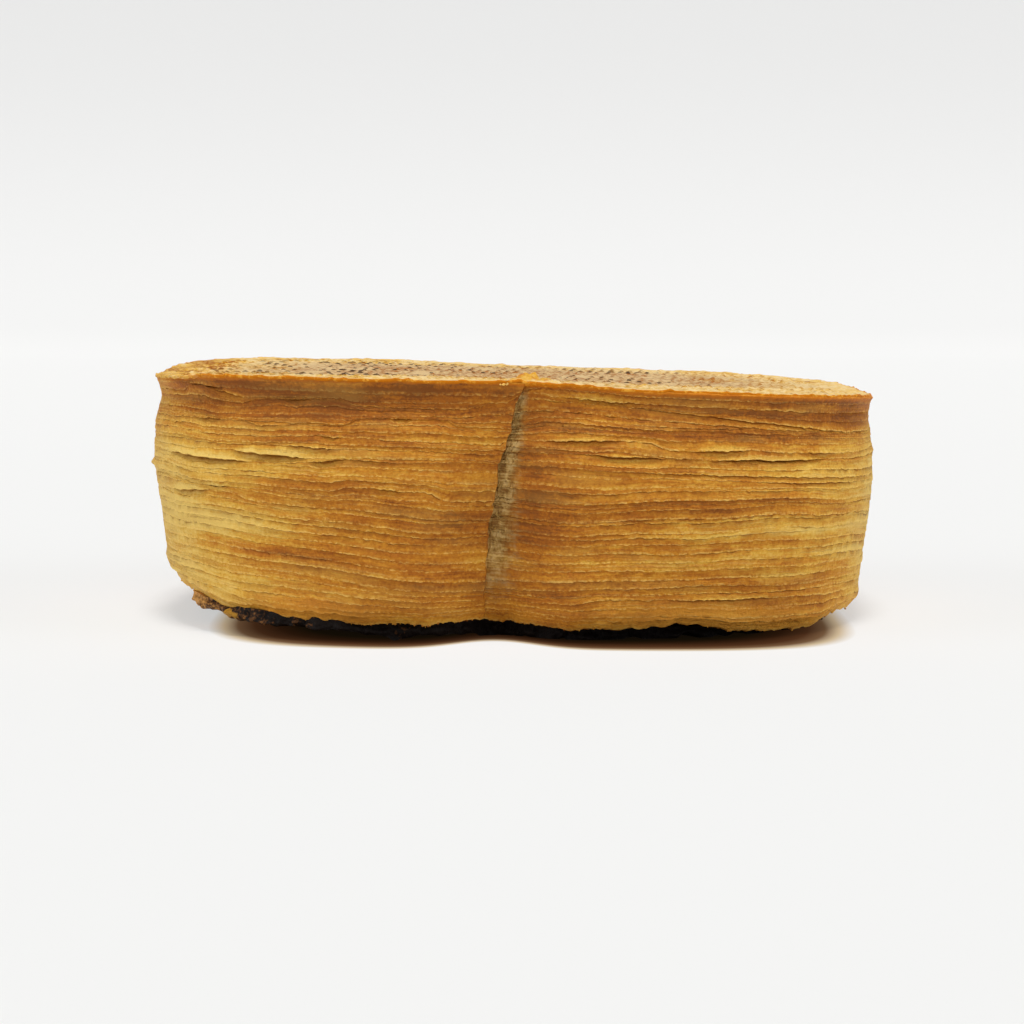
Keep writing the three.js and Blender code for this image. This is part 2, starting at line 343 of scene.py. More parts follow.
class TartBase(bpy.types.PropertyGroup):
    """The pastry base on top and the print of the baking mat in it."""

    thickness: length("Thickness", 0.6, "Thickness of the edge that shows")
    cells: count("Cells", 288, "Mesh cells across the base")
    pitch: length("Print pitch", 2.6, "Distance between the pimples of the print")
    pimple: length("Pimple height", 0.45, "Height of the tallest pimples")
    clump: length("Clump height", 0.55, "Height of the rough clumps on the margin")
    smear: length("Smear", 1.3, "Height of a smear of custard at the front edge")
    smear_aside: length("Smear aside", 4, "How far the smear lies to the right")
    smear_inside: length("Smear inside", 7, "How far the smear lies inside the front edge")
    smear_half_width: length("Smear half width", 5.4, "Half width of the smear")
    smear_half_depth: length("Smear half depth", 4, "Half depth of the smear")
    print_turn: turned("Print turn", 5, "Turn of the print's rows")
    blister: length("Blister", 0.22, "Slow unevenness of the base")
    ragged: length("Edge raggedness", 0.09, "Unevenness of the base's edge")
    brown_half_width: length("Brown half width", 74, "Half width of the browned middle")
    brown_half_depth: length("Brown half depth", 52, "Half depth of the browned middle")
    brown_back: length("Brown set back", 13, "How far the browned middle lies behind the centre")
    seed: count("Seed", 21, "Start of the random draws")


class TartCustard(bpy.types.PropertyGroup):
    """The custard and its scorched skin underneath."""

    set_back: length("Set back", 5, "How far the skin ends inside the wall's foot")
    flush_start: turned("Flush start", -62, "Where the skin comes out to the wall's foot")
    flush_end: turned("Flush end", -24, "Where it goes in again")
    rest_share: share("Rest share", 0.6, "Share of the underside that is flat")
    front_rise: share("Rise in front", 0.08, "Height of the skin's edge as a share of the foot's")
    rise: share("Rise", 0.62, "Height of the skin's edge where it comes out, as a share of the foot's")
    curl: share("Curl", 0.76, "Height of the skin's edge where it curls up, as a share of the foot's")
    curl_angle: turned("Curl angle", -66, "Where it curls up")
    curl_spread: turned("Curl spread", 11, "How far round it curls up")
    lumps: length("Lumps", 1.0, "Height of the lumps near the edge")
    ragged: length("Raggedness", 0.9, "Unevenness of the skin's edge")
    swell: length("Swell", 1.5, "How far the crumbly end of the skin stands out")
    raw_bulge: length("Raw bulge", 1.0, "How far custard swells out where its skin is thin")
    blob_angle: turned("Blob angle", -18, "Where a lump of custard hangs down in front")
    blob_spread: turned("Blob spread", 4, "Half length of the lump")
    blob: length("Blob", 2, "How far the lump stands out")
    columns: count("Columns", 600, "Points round the custard")
    rings: count("Rings", 60, "Rings from the middle to the skin's edge")
    side_rows: count("Side rows", 14, "Rows up the skin's edge to the wall's foot")
    seed: count("Seed", 5, "Start of the random draws")


class TartCrumbs(bpy.types.PropertyGroup):
    """Loose crumbs that stick to the tart."""

    on_lips: count("On the lips", 60, "Grains along the leaves")
    on_foot: count("At the foot", 140, "Crumbs along the lower edge")
    on_base: count("On the base", 45, "Grains on the base's margin")
    smallest: length("Smallest", 0.1, "Half size of the smallest grain")
    largest: length("Largest", 0.28, "Half size of the largest grain")
    flake_grains: count("Flake grains", 9, "Grains of the pale flake on the rim by the seam")
    flake: length("Flake grain", 0.42, "Half size of the largest of them")
    foot_factor: number("Foot factor", 1.6, "How much larger crumbs are at the foot")
    seed: count("Seed", 11, "Start of the random draws")


class TartColours(bpy.types.PropertyGroup):
    """Colours of the pastry and the custard, palest to darkest."""

    straw: colour("Straw", (0.80, 0.55, 0.14), "Least baked pastry")
    gold: colour("Gold", (0.68, 0.375, 0.05), "Lightly baked pastry")
    amber: colour("Amber", (0.54, 0.215, 0.019), "Well baked pastry")
    brown: colour("Brown", (0.36, 0.11, 0.010), "Browned pastry")
    umber: colour("Umber", (0.20, 0.06, 0.010), "Darkest pastry")
    # Cream on the lips is partly painted highlight where they catch the light
    cream: colour("Cream", (0.84, 0.56, 0.15), "Torn lips of the leaves")
    # Crack: painted shade inside the cracks, darker than the shade their narrow openings cast
    crack: colour("Crack", (0.25, 0.085, 0.013), "Inside of the cracks")
    dull: colour("Dull gold", (0.45, 0.245, 0.05), "Leaves with a greenish cast")
    rust: colour("Rust", (0.40, 0.12, 0.014), "Leaves with a reddish cast")
    ash: colour("Ash", (0.58, 0.39, 0.15), "Palest pastry that the lap covered")
    olive: colour("Olive", (0.42, 0.255, 0.075), "Pastry that the lap covered")
    shade: colour("Shade", (0.17, 0.085, 0.022), "Darker layers of the pastry that the lap covered")
    honey: colour("Honey", (0.72, 0.32, 0.035), "Upper part of the fried lip")
    orange: colour("Orange", (0.54, 0.165, 0.008), "Lower part of the fried lip")
    biscuit: colour("Biscuit", (0.78, 0.58, 0.28), "Palest pastry of the base's margin")
    wheat: colour("Wheat", (0.70, 0.44, 0.13), "Usual pastry of the base's margin")
    # Blush and mauve: the browned middle's colour, its grey-mauve cast partly a painted sheen
    blush: colour("Blush", (0.65, 0.46, 0.23), "Palest places in the middle of the base")
    mauve: colour("Mauve", (0.45, 0.26, 0.11), "Browned middle of the base")
    scorch: colour("Scorch", (0.035, 0.015, 0.01), "Scorched pimples of the base")
    custard: colour("Custard", (0.66, 0.33, 0.025), "Custard where its skin is thin")
    # Peach: painted light on the wall's foot, where its faces turn down
    painted_foot_light_colour: colour("Peach", (1.0, 0.46, 0.065), "Foot of the wall where it stayed pale")
    crumb: colour("Crumb", (0.58, 0.285, 0.075), "Palest crumbs of the custard's skin")
    skin: colour("Skin", (0.11, 0.045, 0.014), "Browned skin of the custard")
    # Char is also the colour of the painted shade where the skin lies back under the foot
    char: colour("Char", (0.009, 0.006, 0.005), "Scorched skin of the custard")


class TartStage(bpy.types.PropertyGroup):
    """Camera, floor and light."""

    camera_distance: length("Camera distance", 761.8, "From the tart's middle, level")
    camera_height: length("Camera height", 85.5, "Above the floor")
    camera_aside: length("Camera aside", -0.4, "To the right of the tart's middle")
    camera_pitch: turned("Camera pitch", 4.594, "How far the camera looks down")
    lens: FloatProperty(name="Lens", description="Focal length", default=103.7, unit="CAMERA")
    floor_size: length("Floor size", 5000, "Width of the floor and the backdrop")
    floor_colour: colour("Floor colour", (0.875, 0.875, 0.865), "Floor")
    backdrop_colour: colour("Backdrop colour", (0.74, 0.74, 0.735), "Floor where it sweeps up behind")
    backdrop_height: length("Backdrop height", 400, "Height by which the floor has its backdrop colour")
    # The shade under the tart is painted into the floor's colour and glow
    shade_half_width: length("Shade half width", 78, "Middle to the edge of the shade under the tart, across")
    shade_half_depth: length("Shade half depth", 87.2, "Middle to the edge of the shade, front to back")
    shade_squareness: number("Shade squareness", 4.5, "Exponent of the shade's outline: 2 is an ellipse")
    shade_aside: length("Shade aside", 4, "How far the shade lies to the right")
    shade_forward: length("Shade forward", 6, "How far the shade lies to the front")
    shade_lean: number("Shade lean", 0.055, "How much nearer the front the shade lies towards the right")
    shade_crease: length("Shade crease", 16.5, "Depth of the shade's crease at the seam")
    shade_soft: number("Shade soft ends", 0.6, "How much softer the shade's edge is at its sides")
    # Painted light: the floor glows for part of its brightness, lifting the real shadows round the tart
    glow: share("Glow", 0.6, "Share of the floor's brightness that is its own, as of a lit table")
    sky: number("Sky", 0.08, "Strength of the light from all round")
    top_strength: number("Top light", 2.2, "Strength of the light above")
    top_height: turned("Top light height", 78, "How steeply it falls")
    top_breadth: turned("Top light breadth", 15, "How broad it looks from the tart")
    front_strength: number("Front light", 0.68, "Strength of the broad light in front")
    front_height: turned("Front light height", 38, "How steeply it falls")
    front_breadth: turned("Front light breadth", 40, "How broad it looks from the tart")
    side_strength: number("Side lights", 1.2, "Strength of each of the broad lights at the sides")
    side_height: turned("Side light height", 16, "How steeply they fall")
    side_angle: turned("Side light angle", 73, "How far round from the front they stand")
    side_breadth: turned("Side light breadth", 45, "How broad they look from the tart")


def hump(distance, spread):
    """A smooth bump of height 1 that fades to nothing past its spread."""
    return np.exp(-((distance / spread) ** 2))


def mix(low, high, part):
    return low + (high - low) * part


def eased(part):
    """From 0 at 0 to 1 at 1, slow at both ends."""
    return part * part * (3 - 2 * part)


def rise(value, low, high):
    """Eases from 0 at low to 1 at high."""
    return eased(np.clip((value - low) / (high - low), 0, 1))


def turn_between(start, end):
    """The short way round from one angle to another."""
    return (end - start + math.pi) % WHOLE_TURN - math.pi


def round_hump(angle, place, half_length):
    """A hump round the tart, its place and half length in degrees."""
    return hump(turn_between(math.radians(place), angle), math.radians(half_length))


def humps_round(angle, table):
    """The humps of a table added up: place and half length in degrees, how much."""
    return sum(amount * round_hump(angle, place, half_length) for place, half_length, amount in table)


def humps_over(angle, height_share, table):
    """Humps over the wall added up: angle, share, half angle, half share, how much; angles in degrees."""
    return sum(
        amount * round_hump(angle, place, half_angle) * hump(height_share - at_share, half_share)
        for place, at_share, half_angle, half_share, amount in table
    )


def chance(seed):
    """A repeatable random number from 0 to 1."""
    step, start, spread = 127.1, 311.7, 43758.5453
    value = math.sin(seed * step + start) * spread
    return value - math.floor(value)


def draws_of(sizes, step=0):
    """The same random draws each time they are asked for."""
    return np.random.default_rng(sizes.seed + step)


def wander(draws, angles, knots, rows):
    """Random curves round the tart from -1 to 1, one for each row, with that many knots in a whole turn."""
    values = draws.uniform(-1, 1, (rows, knots))
    place = (angles % WHOLE_TURN) / WHOLE_TURN * knots
    below = np.floor(place).astype(int)
    return mix(values[:, below % knots], values[:, (below + 1) % knots], eased(place - below))


def curves(draws, angles, rows, *layers):
    """Random curves made of layers, each with its knots in a whole turn and its strength."""
    return sum(strength * wander(draws, angles, knots, rows) for knots, strength in layers)


def lumpy(draws, x, y, cell):
    """Random bumps from -1 to 1 over a plane, of about that size."""
    side = 256
    values = draws.uniform(-1, 1, (side, side))
    column = np.floor(x / cell).astype(int)
    row = np.floor(y / cell).astype(int)

    def line(at):
        left = values[at % side, column % side]
        right = values[at % side, (column + 1) % side]
        return mix(left, right, eased(x / cell - column))

    return mix(line(row), line(row + 1), eased(y / cell - row))


class TartForm:
    """The tart's form by angle round it, from the front to the right, and by share of the wall's height."""

    def __init__(self, scene):
        self.plan = scene.tart_plan
        self.seam = scene.tart_seam
        self.middle_x = (base_low.x + base_high.x) / 2
        self.middle_y = base_high.y - self.plan.half_depth

    def plan_radius(self, angle):
        along = np.abs(np.cos(angle)) / self.plan.half_depth
        across = np.abs(np.sin(angle)) / self.plan.half_width
        power = self.plan.squareness
        return (along**power + across**power) ** (-1 / power)

    def crease_shape(self, angle):
        centre = self.seam.crease_place / self.plan.half_depth
        return hump(turn_between(centre, angle) * self.plan.half_depth, self.seam.crease_spread)

    def crease(self, angle, height_share):
        return mix(self.seam.crease_foot, self.seam.crease_top, height_share) * self.crease_shape(angle)

    def rim_lift(self, angle):
        return MM * humps_round(angle, RIM_LIFTS)

    def rim(self, angle):
        plan = self.plan
        lean = plan.rim_lean * np.cos(angle - plan.rim_lean_angle)
        bows = plan.rim_bow * np.cos(2 * angle) + plan.rim_ripple * np.cos(3 * angle)
        return plan.rim_height + lean + bows + self.rim_lift(angle)

    def foot(self, angle):
        plan = self.plan
        lean = -plan.foot_lean * np.sin(angle)
        lift = plan.foot_lift * hump(turn_between(plan.foot_lift_angle, angle), plan.foot_lift_spread)
        return plan.foot_height + lean + lift + plan.foot_pinch * self.crease_shape(angle)

    def section(self, angle, height_share):
        """How far the wall's section stands out from the outline."""
        plan = self.plan
        to_left = rise(-np.sin(angle), -0.6, 0.9)
        neck = plan.neck * mix(plan.neck_right, 1, to_left)
        return (
            plan.belly * hump(height_share - plan.belly_at, plan.belly_spread)
            - plan.taper * (1 - height_share) ** plan.taper_curve
            - neck * hump(height_share - plan.neck_at, plan.neck_spread)
            - plan.foot_tuck * np.exp(-height_share / plan.foot_tuck_spread)
            + plan.flare * hump(1 - height_share, plan.flare_spread)
        )

    def fried(self, angle):
        """How orange the rim came out: most in front, hardly at the left."""
        usual = 0.62 + 0.08 * np.sin(5 * angle)
        front = 0.35 * hump(turn_between(0.2, angle), 1.2)
        left = 0.85 * hump(turn_between(-1.25, angle), 0.35)
        return (usual + front) * (1 - left)

    def rolled(self, angle):
        """How far the rim's lip is rolled over: not on the left, fully on the right."""
        return rise(np.sin(angle), 0.2, 0.6)

    def lip_depth(self, angle):
        return mix(self.plan.lip_left, self.plan.lip_right, self.rolled(angle))

    def base_radius(self, angle):
        return self.plan_radius(angle) - self.crease(angle, 1)

    def top_height(self, angle, radius):
        return mix(self.plan.rim_height, self.rim(angle), radius / self.base_radius(angle))

    def wall_top(self, angle):
        return self.top_height(angle, self.wall_radius(angle, 1)) - WALL_TOP_DROP

    def even_top(self, angle):
        """The wall's top without the rim's lifts, to which the shares of slits, tones and flakes refer."""
        return self.wall_top(angle) - self.rim_lift(angle)

    def wall_radius(self, angle, height_share):
        return self.plan_radius(angle) - self.crease(angle, height_share) + self.section(angle, height_share)

    def inner_radius(self, angle):
        half_way = 0.5
        outside = self.plan_radius(angle) - self.crease(angle, half_way)
        return outside - self.plan.taper - self.plan.wall_thickness

    def points(self, angle, radius, height):
        """Places in the frame."""
        x = self.middle_x + radius * np.sin(angle)
        y = self.middle_y - radius * np.cos(angle)
        return np.stack(np.broadcast_arrays(x, y, height), axis=-1)


def column_angles(columns, crowding):
    """Angles all the way round from the back, closest together at the seam in front."""
    place = np.linspace(-1, 1, columns + 1)
    return math.pi * place - crowding * np.sin(math.pi * place)


class LeafRelief:
    """Rows of points up the outside of the wall, with what the finish needs to know at each."""

    def __init__(self, scene):
        self.form = TartForm(scene)
        self.sizes = scene.tart_leaves
        self.seam = scene.tart_seam
        self.columns = column_angles(self.sizes.columns, self.sizes.crowding)
        self.joints = self.leaf_joints()
        self.draw_unevenness()
        self.draw_slits()

    def leaf_joints(self):
        """Shares of the wall's height at which leaves meet, from the foot to the top."""
        uneven = self.sizes.unevenness
        thickness = [1 + uneven * (2 * chance(leaf) - 1) for leaf in range(self.sizes.leaves)]
        joints = np.concatenate([[0], np.cumsum(thickness)])
        return joints / joints[-1]

    def draw_unevenness(self):
        """Draws how the leaves and the foot vary round the tart."""
        sizes = self.sizes
        draws = draws_of(sizes)
        rows = sizes.leaves + 1
        around = self.columns

        def varied(*layers):
            return curves(draws, around, rows, *layers)

        strength = np.clip(0.6 + varied((12, 0.8), (45, 0.5)), 0.05, 1.25)
        strength = strength * mix(0.9, 1.25, rise(np.sin(around), -0.1, 0.5))
        self.proud = sizes.lip * strength * np.clip(1 + varied((330, 0.5), (800, 0.4)), 0.3, 2)
        self.jag = sizes.jag * varied((90, 0.6), (260, 0.5), (640, 0.7), (1400, 0.9))
        self.gap = sizes.crack * strength * np.clip(0.75 + varied((430, 1.1)), 0.04, 1.8)
        self.sway = sizes.sway * varied((9, 1), (38, 0.5))
        self.tone = varied((7, 0.07), (24, 0.05))
        self.face = FACE_RELIEF * varied((150, 1), (500, 1))
        self.stray = sizes.stray * varied((14, 1), (40, 0.25))
        self.seam_jag = SEAM_JAG * draws.uniform(-1, 1, rows)
        self.crumble = sizes.crumble * draws.uniform(-1, 1, (rows, CRUMBLE_STEPS, len(around)))
        ragged = curves(draws, around, 1, (70, 1), (240, 1.1))[0]
        notches = MM * humps_round(self.seam_turn(0), FOOT_NOTCHES)
        self.foot_ragged = self.form.plan.foot_ragged * ragged + notches

    def hidden_slits(self):
        """Slits at the back and the far sides, like those of the table."""
        draws = draws_of(self.sizes, 1)
        for _ in range(HIDDEN_SLITS):
            left = draws.uniform(0.12, 0.95)
            right = left + draws.uniform(-0.04, 0.04)
            angle = draws.uniform(80, 280)
            half_length = draws.uniform(3, 12)
            opening = draws.uniform(0.3, 1.1)
            yield angle, half_length, opening, left, right

    def draw_slits(self):
        """Opens the slits and moves the joints of the leaves to them."""
        order = np.arange(self.sizes.leaves + 1)
        self.slit = np.zeros((len(order), len(self.columns)))
        self.push = np.zeros_like(self.slit)
        foot = self.form.foot(self.columns)
        wall_height = self.form.even_top(self.columns) - foot
        lines = []
        spread = []
        for angle, half_length, opening, left, right in (*SLITS, *self.hidden_slits()):
            joint = int(np.argmin(np.abs(self.joints[1:-1] - (left + right) / 2))) + 1
            leaves_away = np.abs(order - joint)
            reach = turn_between(math.radians(angle), self.columns) / math.radians(half_length)
            opened = opening * MM * np.clip(1 - reach * reach, 0, 1)
            side = np.where(order >= joint, SLIT_ABOVE, SLIT_BELOW) * np.exp(-leaves_away / SLIT_FADE)
            line = mix(left, right, np.clip(reach / 2 + 0.5, 0, 1))
            away = foot + line * wall_height - self.joint_height(joint, self.columns)
            past_ends = max(1.4, 7 / half_length)
            near = 1 - rise(np.abs(reach), 1, 1 + past_ends)
            lines.append((joint, away, near, np.exp(-leaves_away / LINE_FADE)))
            self.slit[joint] += opened
            spread.append(side[:, None] * opened)
        self.push += sum(spread)
        for _ in range(LINE_ROUNDS):
            for joint, away, near, fade in lines:
                self.push += fade[:, None] * near * (away - self.push[joint])
        self.push[0] = 0
        self.push[-1] = 0

    def seam_turn(self, joint):
        """Near the seam the columns follow its slant and its jagged edge."""
        jag_hold = 0.03
        slanted = self.seam.low + self.seam.slant * self.joints[joint] ** 2
        shift = slanted * hump(self.columns, self.seam.hold)
        shift = shift + self.seam_jag[joint] * hump(self.columns, jag_hold)
        return self.columns + shift / self.form.plan.half_depth

    def past_seam(self):
        """Distance to the right of the seam, and how much of the lap is left there."""
        distance = self.columns * self.form.plan.half_depth
        return distance, np.where(self.columns > 0, np.exp(-np.abs(distance) / self.seam.lap_fade), 0)

    def joint_height(self, joint, angle):
        sizes = self.sizes
        height_share = self.joints[joint]
        within = 4 * height_share * (1 - height_share)
        even = mix(self.form.foot(angle), self.form.wall_top(angle), height_share)
        drift = np.sin(7 * angle + 5 * height_share) + 0.6 * np.sin(17 * angle - 9 * height_share)
        sagging = rise(height_share, 0, 0.2) * (1 - rise(height_share, 0.5, 0.85))
        sag = sizes.sag * hump(turn_between(sizes.sag_angle, angle), sizes.sag_spread) * sagging
        degrees = np.degrees(angle)
        left_of_seam = rise(degrees, -66, -42) * (1 - rise(degrees, -1, 6))
        elsewhere = rise(np.abs(degrees + 25), 30, 50)
        under_top = rise(height_share, 0.6, 0.97) if height_share < 1 else 0
        top_leaf = (sizes.top_leaf * left_of_seam + sizes.top_leaf_right * elsewhere) * under_top
        lap = self.seam.mismatch * self.past_seam()[1]
        ragged = self.foot_ragged * (1 - height_share) ** 12
        own = self.stray[joint] * min(1, 4 * within) + self.push[joint]
        return even + (sizes.drift * drift + lap) * within - sag - top_leaf + ragged + own

    def tones(self, leaf, part, angle, height_share):
        """How browned the pastry is, from 0 to 1, with the painted light and shade of some rows of the tones
        table.
        """
        tone = USUAL_TONE + self.tone[leaf] + 0.05 * (part - 0.5) + humps_over(angle, height_share, TONES_WITH_PAINTED_LIGHT_AND_SHADE)
        degrees = np.degrees(angle)
        leaf_share = mix(self.joints[leaf], self.joints[leaf + 1], part)
        for at_share, start, end, amount in BANDS:
            across = rise(degrees, start, start + BAND_FADE) * rise(-degrees, -end, BAND_FADE - end)
            tone = tone + amount * across * hump(leaf_share - at_share, BAND_SPREAD)
        return tone

    def covered(self, height_share, distance):
        """Where the lap covered the pastry, from 0 to 1: a strip right of the seam, widest at the foot."""
        width = mix(self.seam.strip_foot, self.seam.strip_top, height_share**2)
        strip = np.where(self.columns > 0, 1 - rise(distance, 0.3 * width, 1.75 * width), 0)
        return strip * rise(height_share, -0.05, 0.36) * (1 - rise(height_share, 0.92, 0.99))

    def row(self, leaf, part, angle, height, out, lip, crack, pale=0):
        """One row of points with its share of the leaf, from 0 at the lip to 1 at the root."""
        foot = self.form.foot(angle) + self.foot_ragged
        top = self.form.wall_top(angle)
        height_share = np.clip((height - foot) / (top - foot), 0, 1)
        even_share = (height - foot) / (self.form.even_top(angle) - foot)
        distance, lapped = self.past_seam()
        bare = self.covered(height_share, distance)
        radius = self.form.wall_radius(angle, height_share) + out - self.seam.lap * lapped
        radius = radius + MM * humps_over(angle, even_share, FLAKES)
        radius = radius + bare * self.crumble[leaf, int(part * (CRUMBLE_STEPS - 1))]
        ones = np.ones_like(angle)
        return {
            "points": self.form.points(angle, radius, height),
            "leaf": (leaf + part) * ones,
            "lip": lip * ones,
            "crack": crack * ones,
            "tone": self.tones(leaf, part, angle, even_share) - pale,
            "bare": bare,
            "fried": self.form.fried(angle),
            "drop": (top - height) / self.form.lip_depth(angle),
            # Painted light along the foot, paler where its faces turn down
            "low": humps_round(angle, PAINTED_FOOT_LIGHT) * (1 - rise(height_share, 0.01, 0.15)),
        }

    def leaf_rows(self, leaf):
        """Crack, lip, face and root of one leaf, from below upwards."""
        sizes = self.sizes
        upper = leaf + 1
        last = upper == sizes.leaves
        low_angle = self.seam_turn(leaf)
        high_angle = self.seam_turn(upper)
        low = self.joint_height(leaf, low_angle) + self.jag[leaf]
        high = self.joint_height(upper, high_angle) + (0 if last else self.jag[upper])
        open_above = 0 if last else self.gap[upper] + self.slit[upper]
        open_below = self.gap[leaf] + self.slit[leaf]
        top = high - np.minimum(open_above, GAP_LIMIT * np.maximum(high - low, THINNEST_LEAF))
        below = low - GAP_BELOW * open_below
        proud = self.proud[leaf] + self.sway[leaf] + SLIT_LIP * self.slit[leaf]
        sunk = self.sway[leaf] - sizes.sink
        root = sunk - SLIT_ROOT * sizes.slit_depth * self.slit[upper]
        deep = sunk - sizes.slit_depth * self.slit[leaf]
        deep = deep - sizes.crack_depth * (0.3 + 0.7 * self.gap[leaf] / sizes.crack)
        if leaf == 0:
            deep = proud - FOOT_RETURN
            below = low + FOOT_HOLLOW
        roll = self.form.plan.roll * self.form.rolled(low_angle) if last else 0
        pale_low, pale_high = (SLIT_PALER * np.clip(self.slit[joint] / MM, 0, 1) for joint in (leaf, upper))
        # How dark the painted shade in the crack over the leaf is, by how far it opens
        crack_shade = 0.5 * np.clip(open_above / OPEN_CRACK, 0, 1)
        rows = [self.row(leaf, 0, low_angle, below, deep, 0, 1)]
        for part, out, lip, crack, pale in (
            (0, proud, 1, 0, pale_low),
            (0.25, mix(root, proud, 0.6) + self.face[leaf], 0.3, 0, pale_low),
            *(((0.5, root + 0.5 * roll, 0, 0, 0), (0.75, root + roll, 0, 0, 0)) if last else ()),
            (1, root, 0, crack_shade, pale_high),
        ):
            angle = mix(low_angle, high_angle, part)
            rows.append(self.row(leaf, part, angle, mix(low, top, part), out, lip, crack, pale))
        return rows

    def inner_row(self, height):
        """A row on the hidden inside of the wall."""
        columns = self.columns
        points = self.form.points(columns, self.form.inner_radius(columns), height)
        kinds = ("leaf", "lip", "crack", "bare", "fried", "drop", "low")
        plain = dict.fromkeys(kinds, np.zeros_like(columns))
        return {"points": points, "tone": np.full_like(columns, INSIDE_TONE), **plain}

    def rows(self):
        """All rows: up the outside, over the top, down the inside."""
        form = self.form
        columns = self.columns
        lowest = self.inner_row(form.foot(columns) + np.maximum(self.foot_ragged, 0) + INNER_FOOT_RISE)
        highest = self.inner_row(form.top_height(columns, form.inner_radius(columns)) - WALL_UNDER_BASE)
        outside = [row for leaf in range(self.sizes.leaves) for row in self.leaf_rows(leaf)]
        return [lowest, *outside, highest, lowest]


def set_values(mesh, values):
    """Stores a value of each kind at each point of a mesh."""
    for kind, amounts in values.items():
        attribute = mesh.attributes.new(kind, "FLOAT", "POINT")
        attribute.data.foreach_set("value", amounts.astype(np.float32).ravel())


def grid_piece(name, points, values):
    """A grid primitive moved to the given rows and columns of points, with values of each kind."""
    rows, columns = points.shape[:2]
    bpy.ops.object.select_all(action="DESELECT")
    bpy.ops.mesh.primitive_grid_add(x_subdivisions=columns - 1, y_subdivisions=rows - 1, size=2)
    piece = bpy.context.object
    piece.name = name
    mesh = piece.data
    mesh.name = name
    mesh.vertices.foreach_set("co", points.astype(np.float32).ravel())
    set_values(mesh, values)
    return piece


def weld(piece):
    """Joins the points that meet and turns the faces outwards."""
    bpy.ops.object.mode_set(mode="EDIT")
    bpy.ops.mesh.select_all(action="SELECT")
    bpy.ops.mesh.remove_doubles(threshold=WELD)
    bpy.ops.mesh.normals_make_consistent(inside=False)
    bpy.ops.object.mode_set(mode="OBJECT")
    piece.data.update()


def dress(piece, finish, slot, *nodes):
    """Gives a piece its finish and fastens it to the tart in place of its solids."""
    piece.data.materials.clear()
    piece.data.materials.append(finish)
    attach(piece, "root")
    if nodes:
        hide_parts(*nodes)


class Value:
    """A socket of a finish. Sums on it are written as Python expressions and become Math nodes."""

    def __init__(self, finish, socket):
        self.finish = finish
        self.socket = socket

    def __add__(self, other):
        return self.finish.maths("ADD", self, other)

    def __radd__(self, other):
        return self.finish.maths("ADD", other, self)

    def __sub__(self, other):
        return self.finish.maths("SUBTRACT", self, other)

    def __rsub__(self, other):
        return self.finish.maths("SUBTRACT", other, self)

    def __mul__(self, other):
        return self.finish.maths("MULTIPLY", self, other)

    def __rmul__(self, other):
        return self.finish.maths("MULTIPLY", other, self)

    def __truediv__(self, other):
        return self.finish.maths("DIVIDE", self, other)

    def __rtruediv__(self, other):
        return self.finish.maths("DIVIDE", other, self)

    def __pow__(self, other):
        return self.finish.maths("POWER", self, other)

    def __rpow__(self, other):
        return self.finish.maths("POWER", other, self)


class Finish:
    """A node-based finish for one kind of surface."""

    def __init__(self, name, **constants):
        self.material = bpy.data.materials.new(name)
        self.material.use_nodes = True
        self.tree = self.material.node_tree
        self.shader = self.tree.nodes["Principled BSDF"]
        for socket, value in constants.items():
            self.shader.inputs[socket.replace("_", " ")].default_value = value

    def put(self, socket, value):
        """Links or sets one socket."""
        if isinstance(value, Value):
            self.tree.links.new(value.socket, socket)
        elif hasattr(socket.default_value, "__len__") and len(socket.default_value) == 4 and len(value) == 3:
            socket.default_value = (*value, 1)
        else:
            socket.default_value = value

    def node(self, kind, settings=None, sockets=None, output=0):
        """Adds a node: its settings first, then the values or links of its sockets."""
        made = self.tree.nodes.new(kind)
        for name, setting in (settings or {}).items():
            if name == "stops":
                self.set_stops(made.color_ramp, setting)
            else:
                setattr(made, name, setting)
        for name, value in (sockets or {}).items():
            self.put(made.inputs[name], value)
        return Value(self, made.outputs[output])

    def set_stops(self, ramp, stops):
        while len(ramp.elements) < len(stops):
            ramp.elements.new(1)
        for element, (place, shade) in zip(ramp.elements, stops):
            element.position = place
            element.color = (*shade, 1)

    def maths(self, operation, *values):
        return self.node("ShaderNodeMath", {"operation": operation}, dict(enumerate(values)))

    def attribute(self, name):
        return self.node("ShaderNodeAttribute", {"attribute_name": name}, output="Fac")

    def place(self):
        return self.node("ShaderNodeTexCoord", output="Object")

    def axis(self, vector, letter):
        """One of the three numbers of a place."""
        return self.node("ShaderNodeSeparateXYZ", None, {"Vector": vector}, letter)

    def noise(self, vector, scale=1.0, detail=2.0, roughness=0.5):
        sockets = {"Vector": vector, "Scale": scale, "Detail": detail, "Roughness": roughness}
        return self.node("ShaderNodeTexNoise", None, sockets, "Fac")

    def varied(self, start, *noises):
        """A value with noises added, each counted from its middle and with its own strength."""
        middle = 0.5
        for noise, strength in noises:
            start = start + (noise - middle) * strength
        return start

    def ease(self, value, low, high):
        """0 below low, 1 above high, eased between."""
        sockets = {"Value": value, "From Min": low, "From Max": high}
        return self.node("ShaderNodeMapRange", {"interpolation_type": "SMOOTHSTEP"}, sockets)

    def blend(self, factor, below, above, mode="MIX"):
        """Two colours mixed."""
        settings = {"data_type": "RGBA", "blend_type": mode}
        return self.node("ShaderNodeMix", settings, {0: factor, 6: below, 7: above}, 2)

    def ramp(self, value, *stops):
        return self.node("ShaderNodeValToRGB", {"stops": stops}, {"Fac": value})

    def bump(self, height, strength, distance):
        sockets = {"Height": height, "Strength": strength, "Distance": distance}
        return self.node("ShaderNodeBump", None, sockets)

    def set_shader(self, **values):
        for name, value in values.items():
            self.put(self.shader.inputs[name.replace("_", " ")], value)
        return self.material


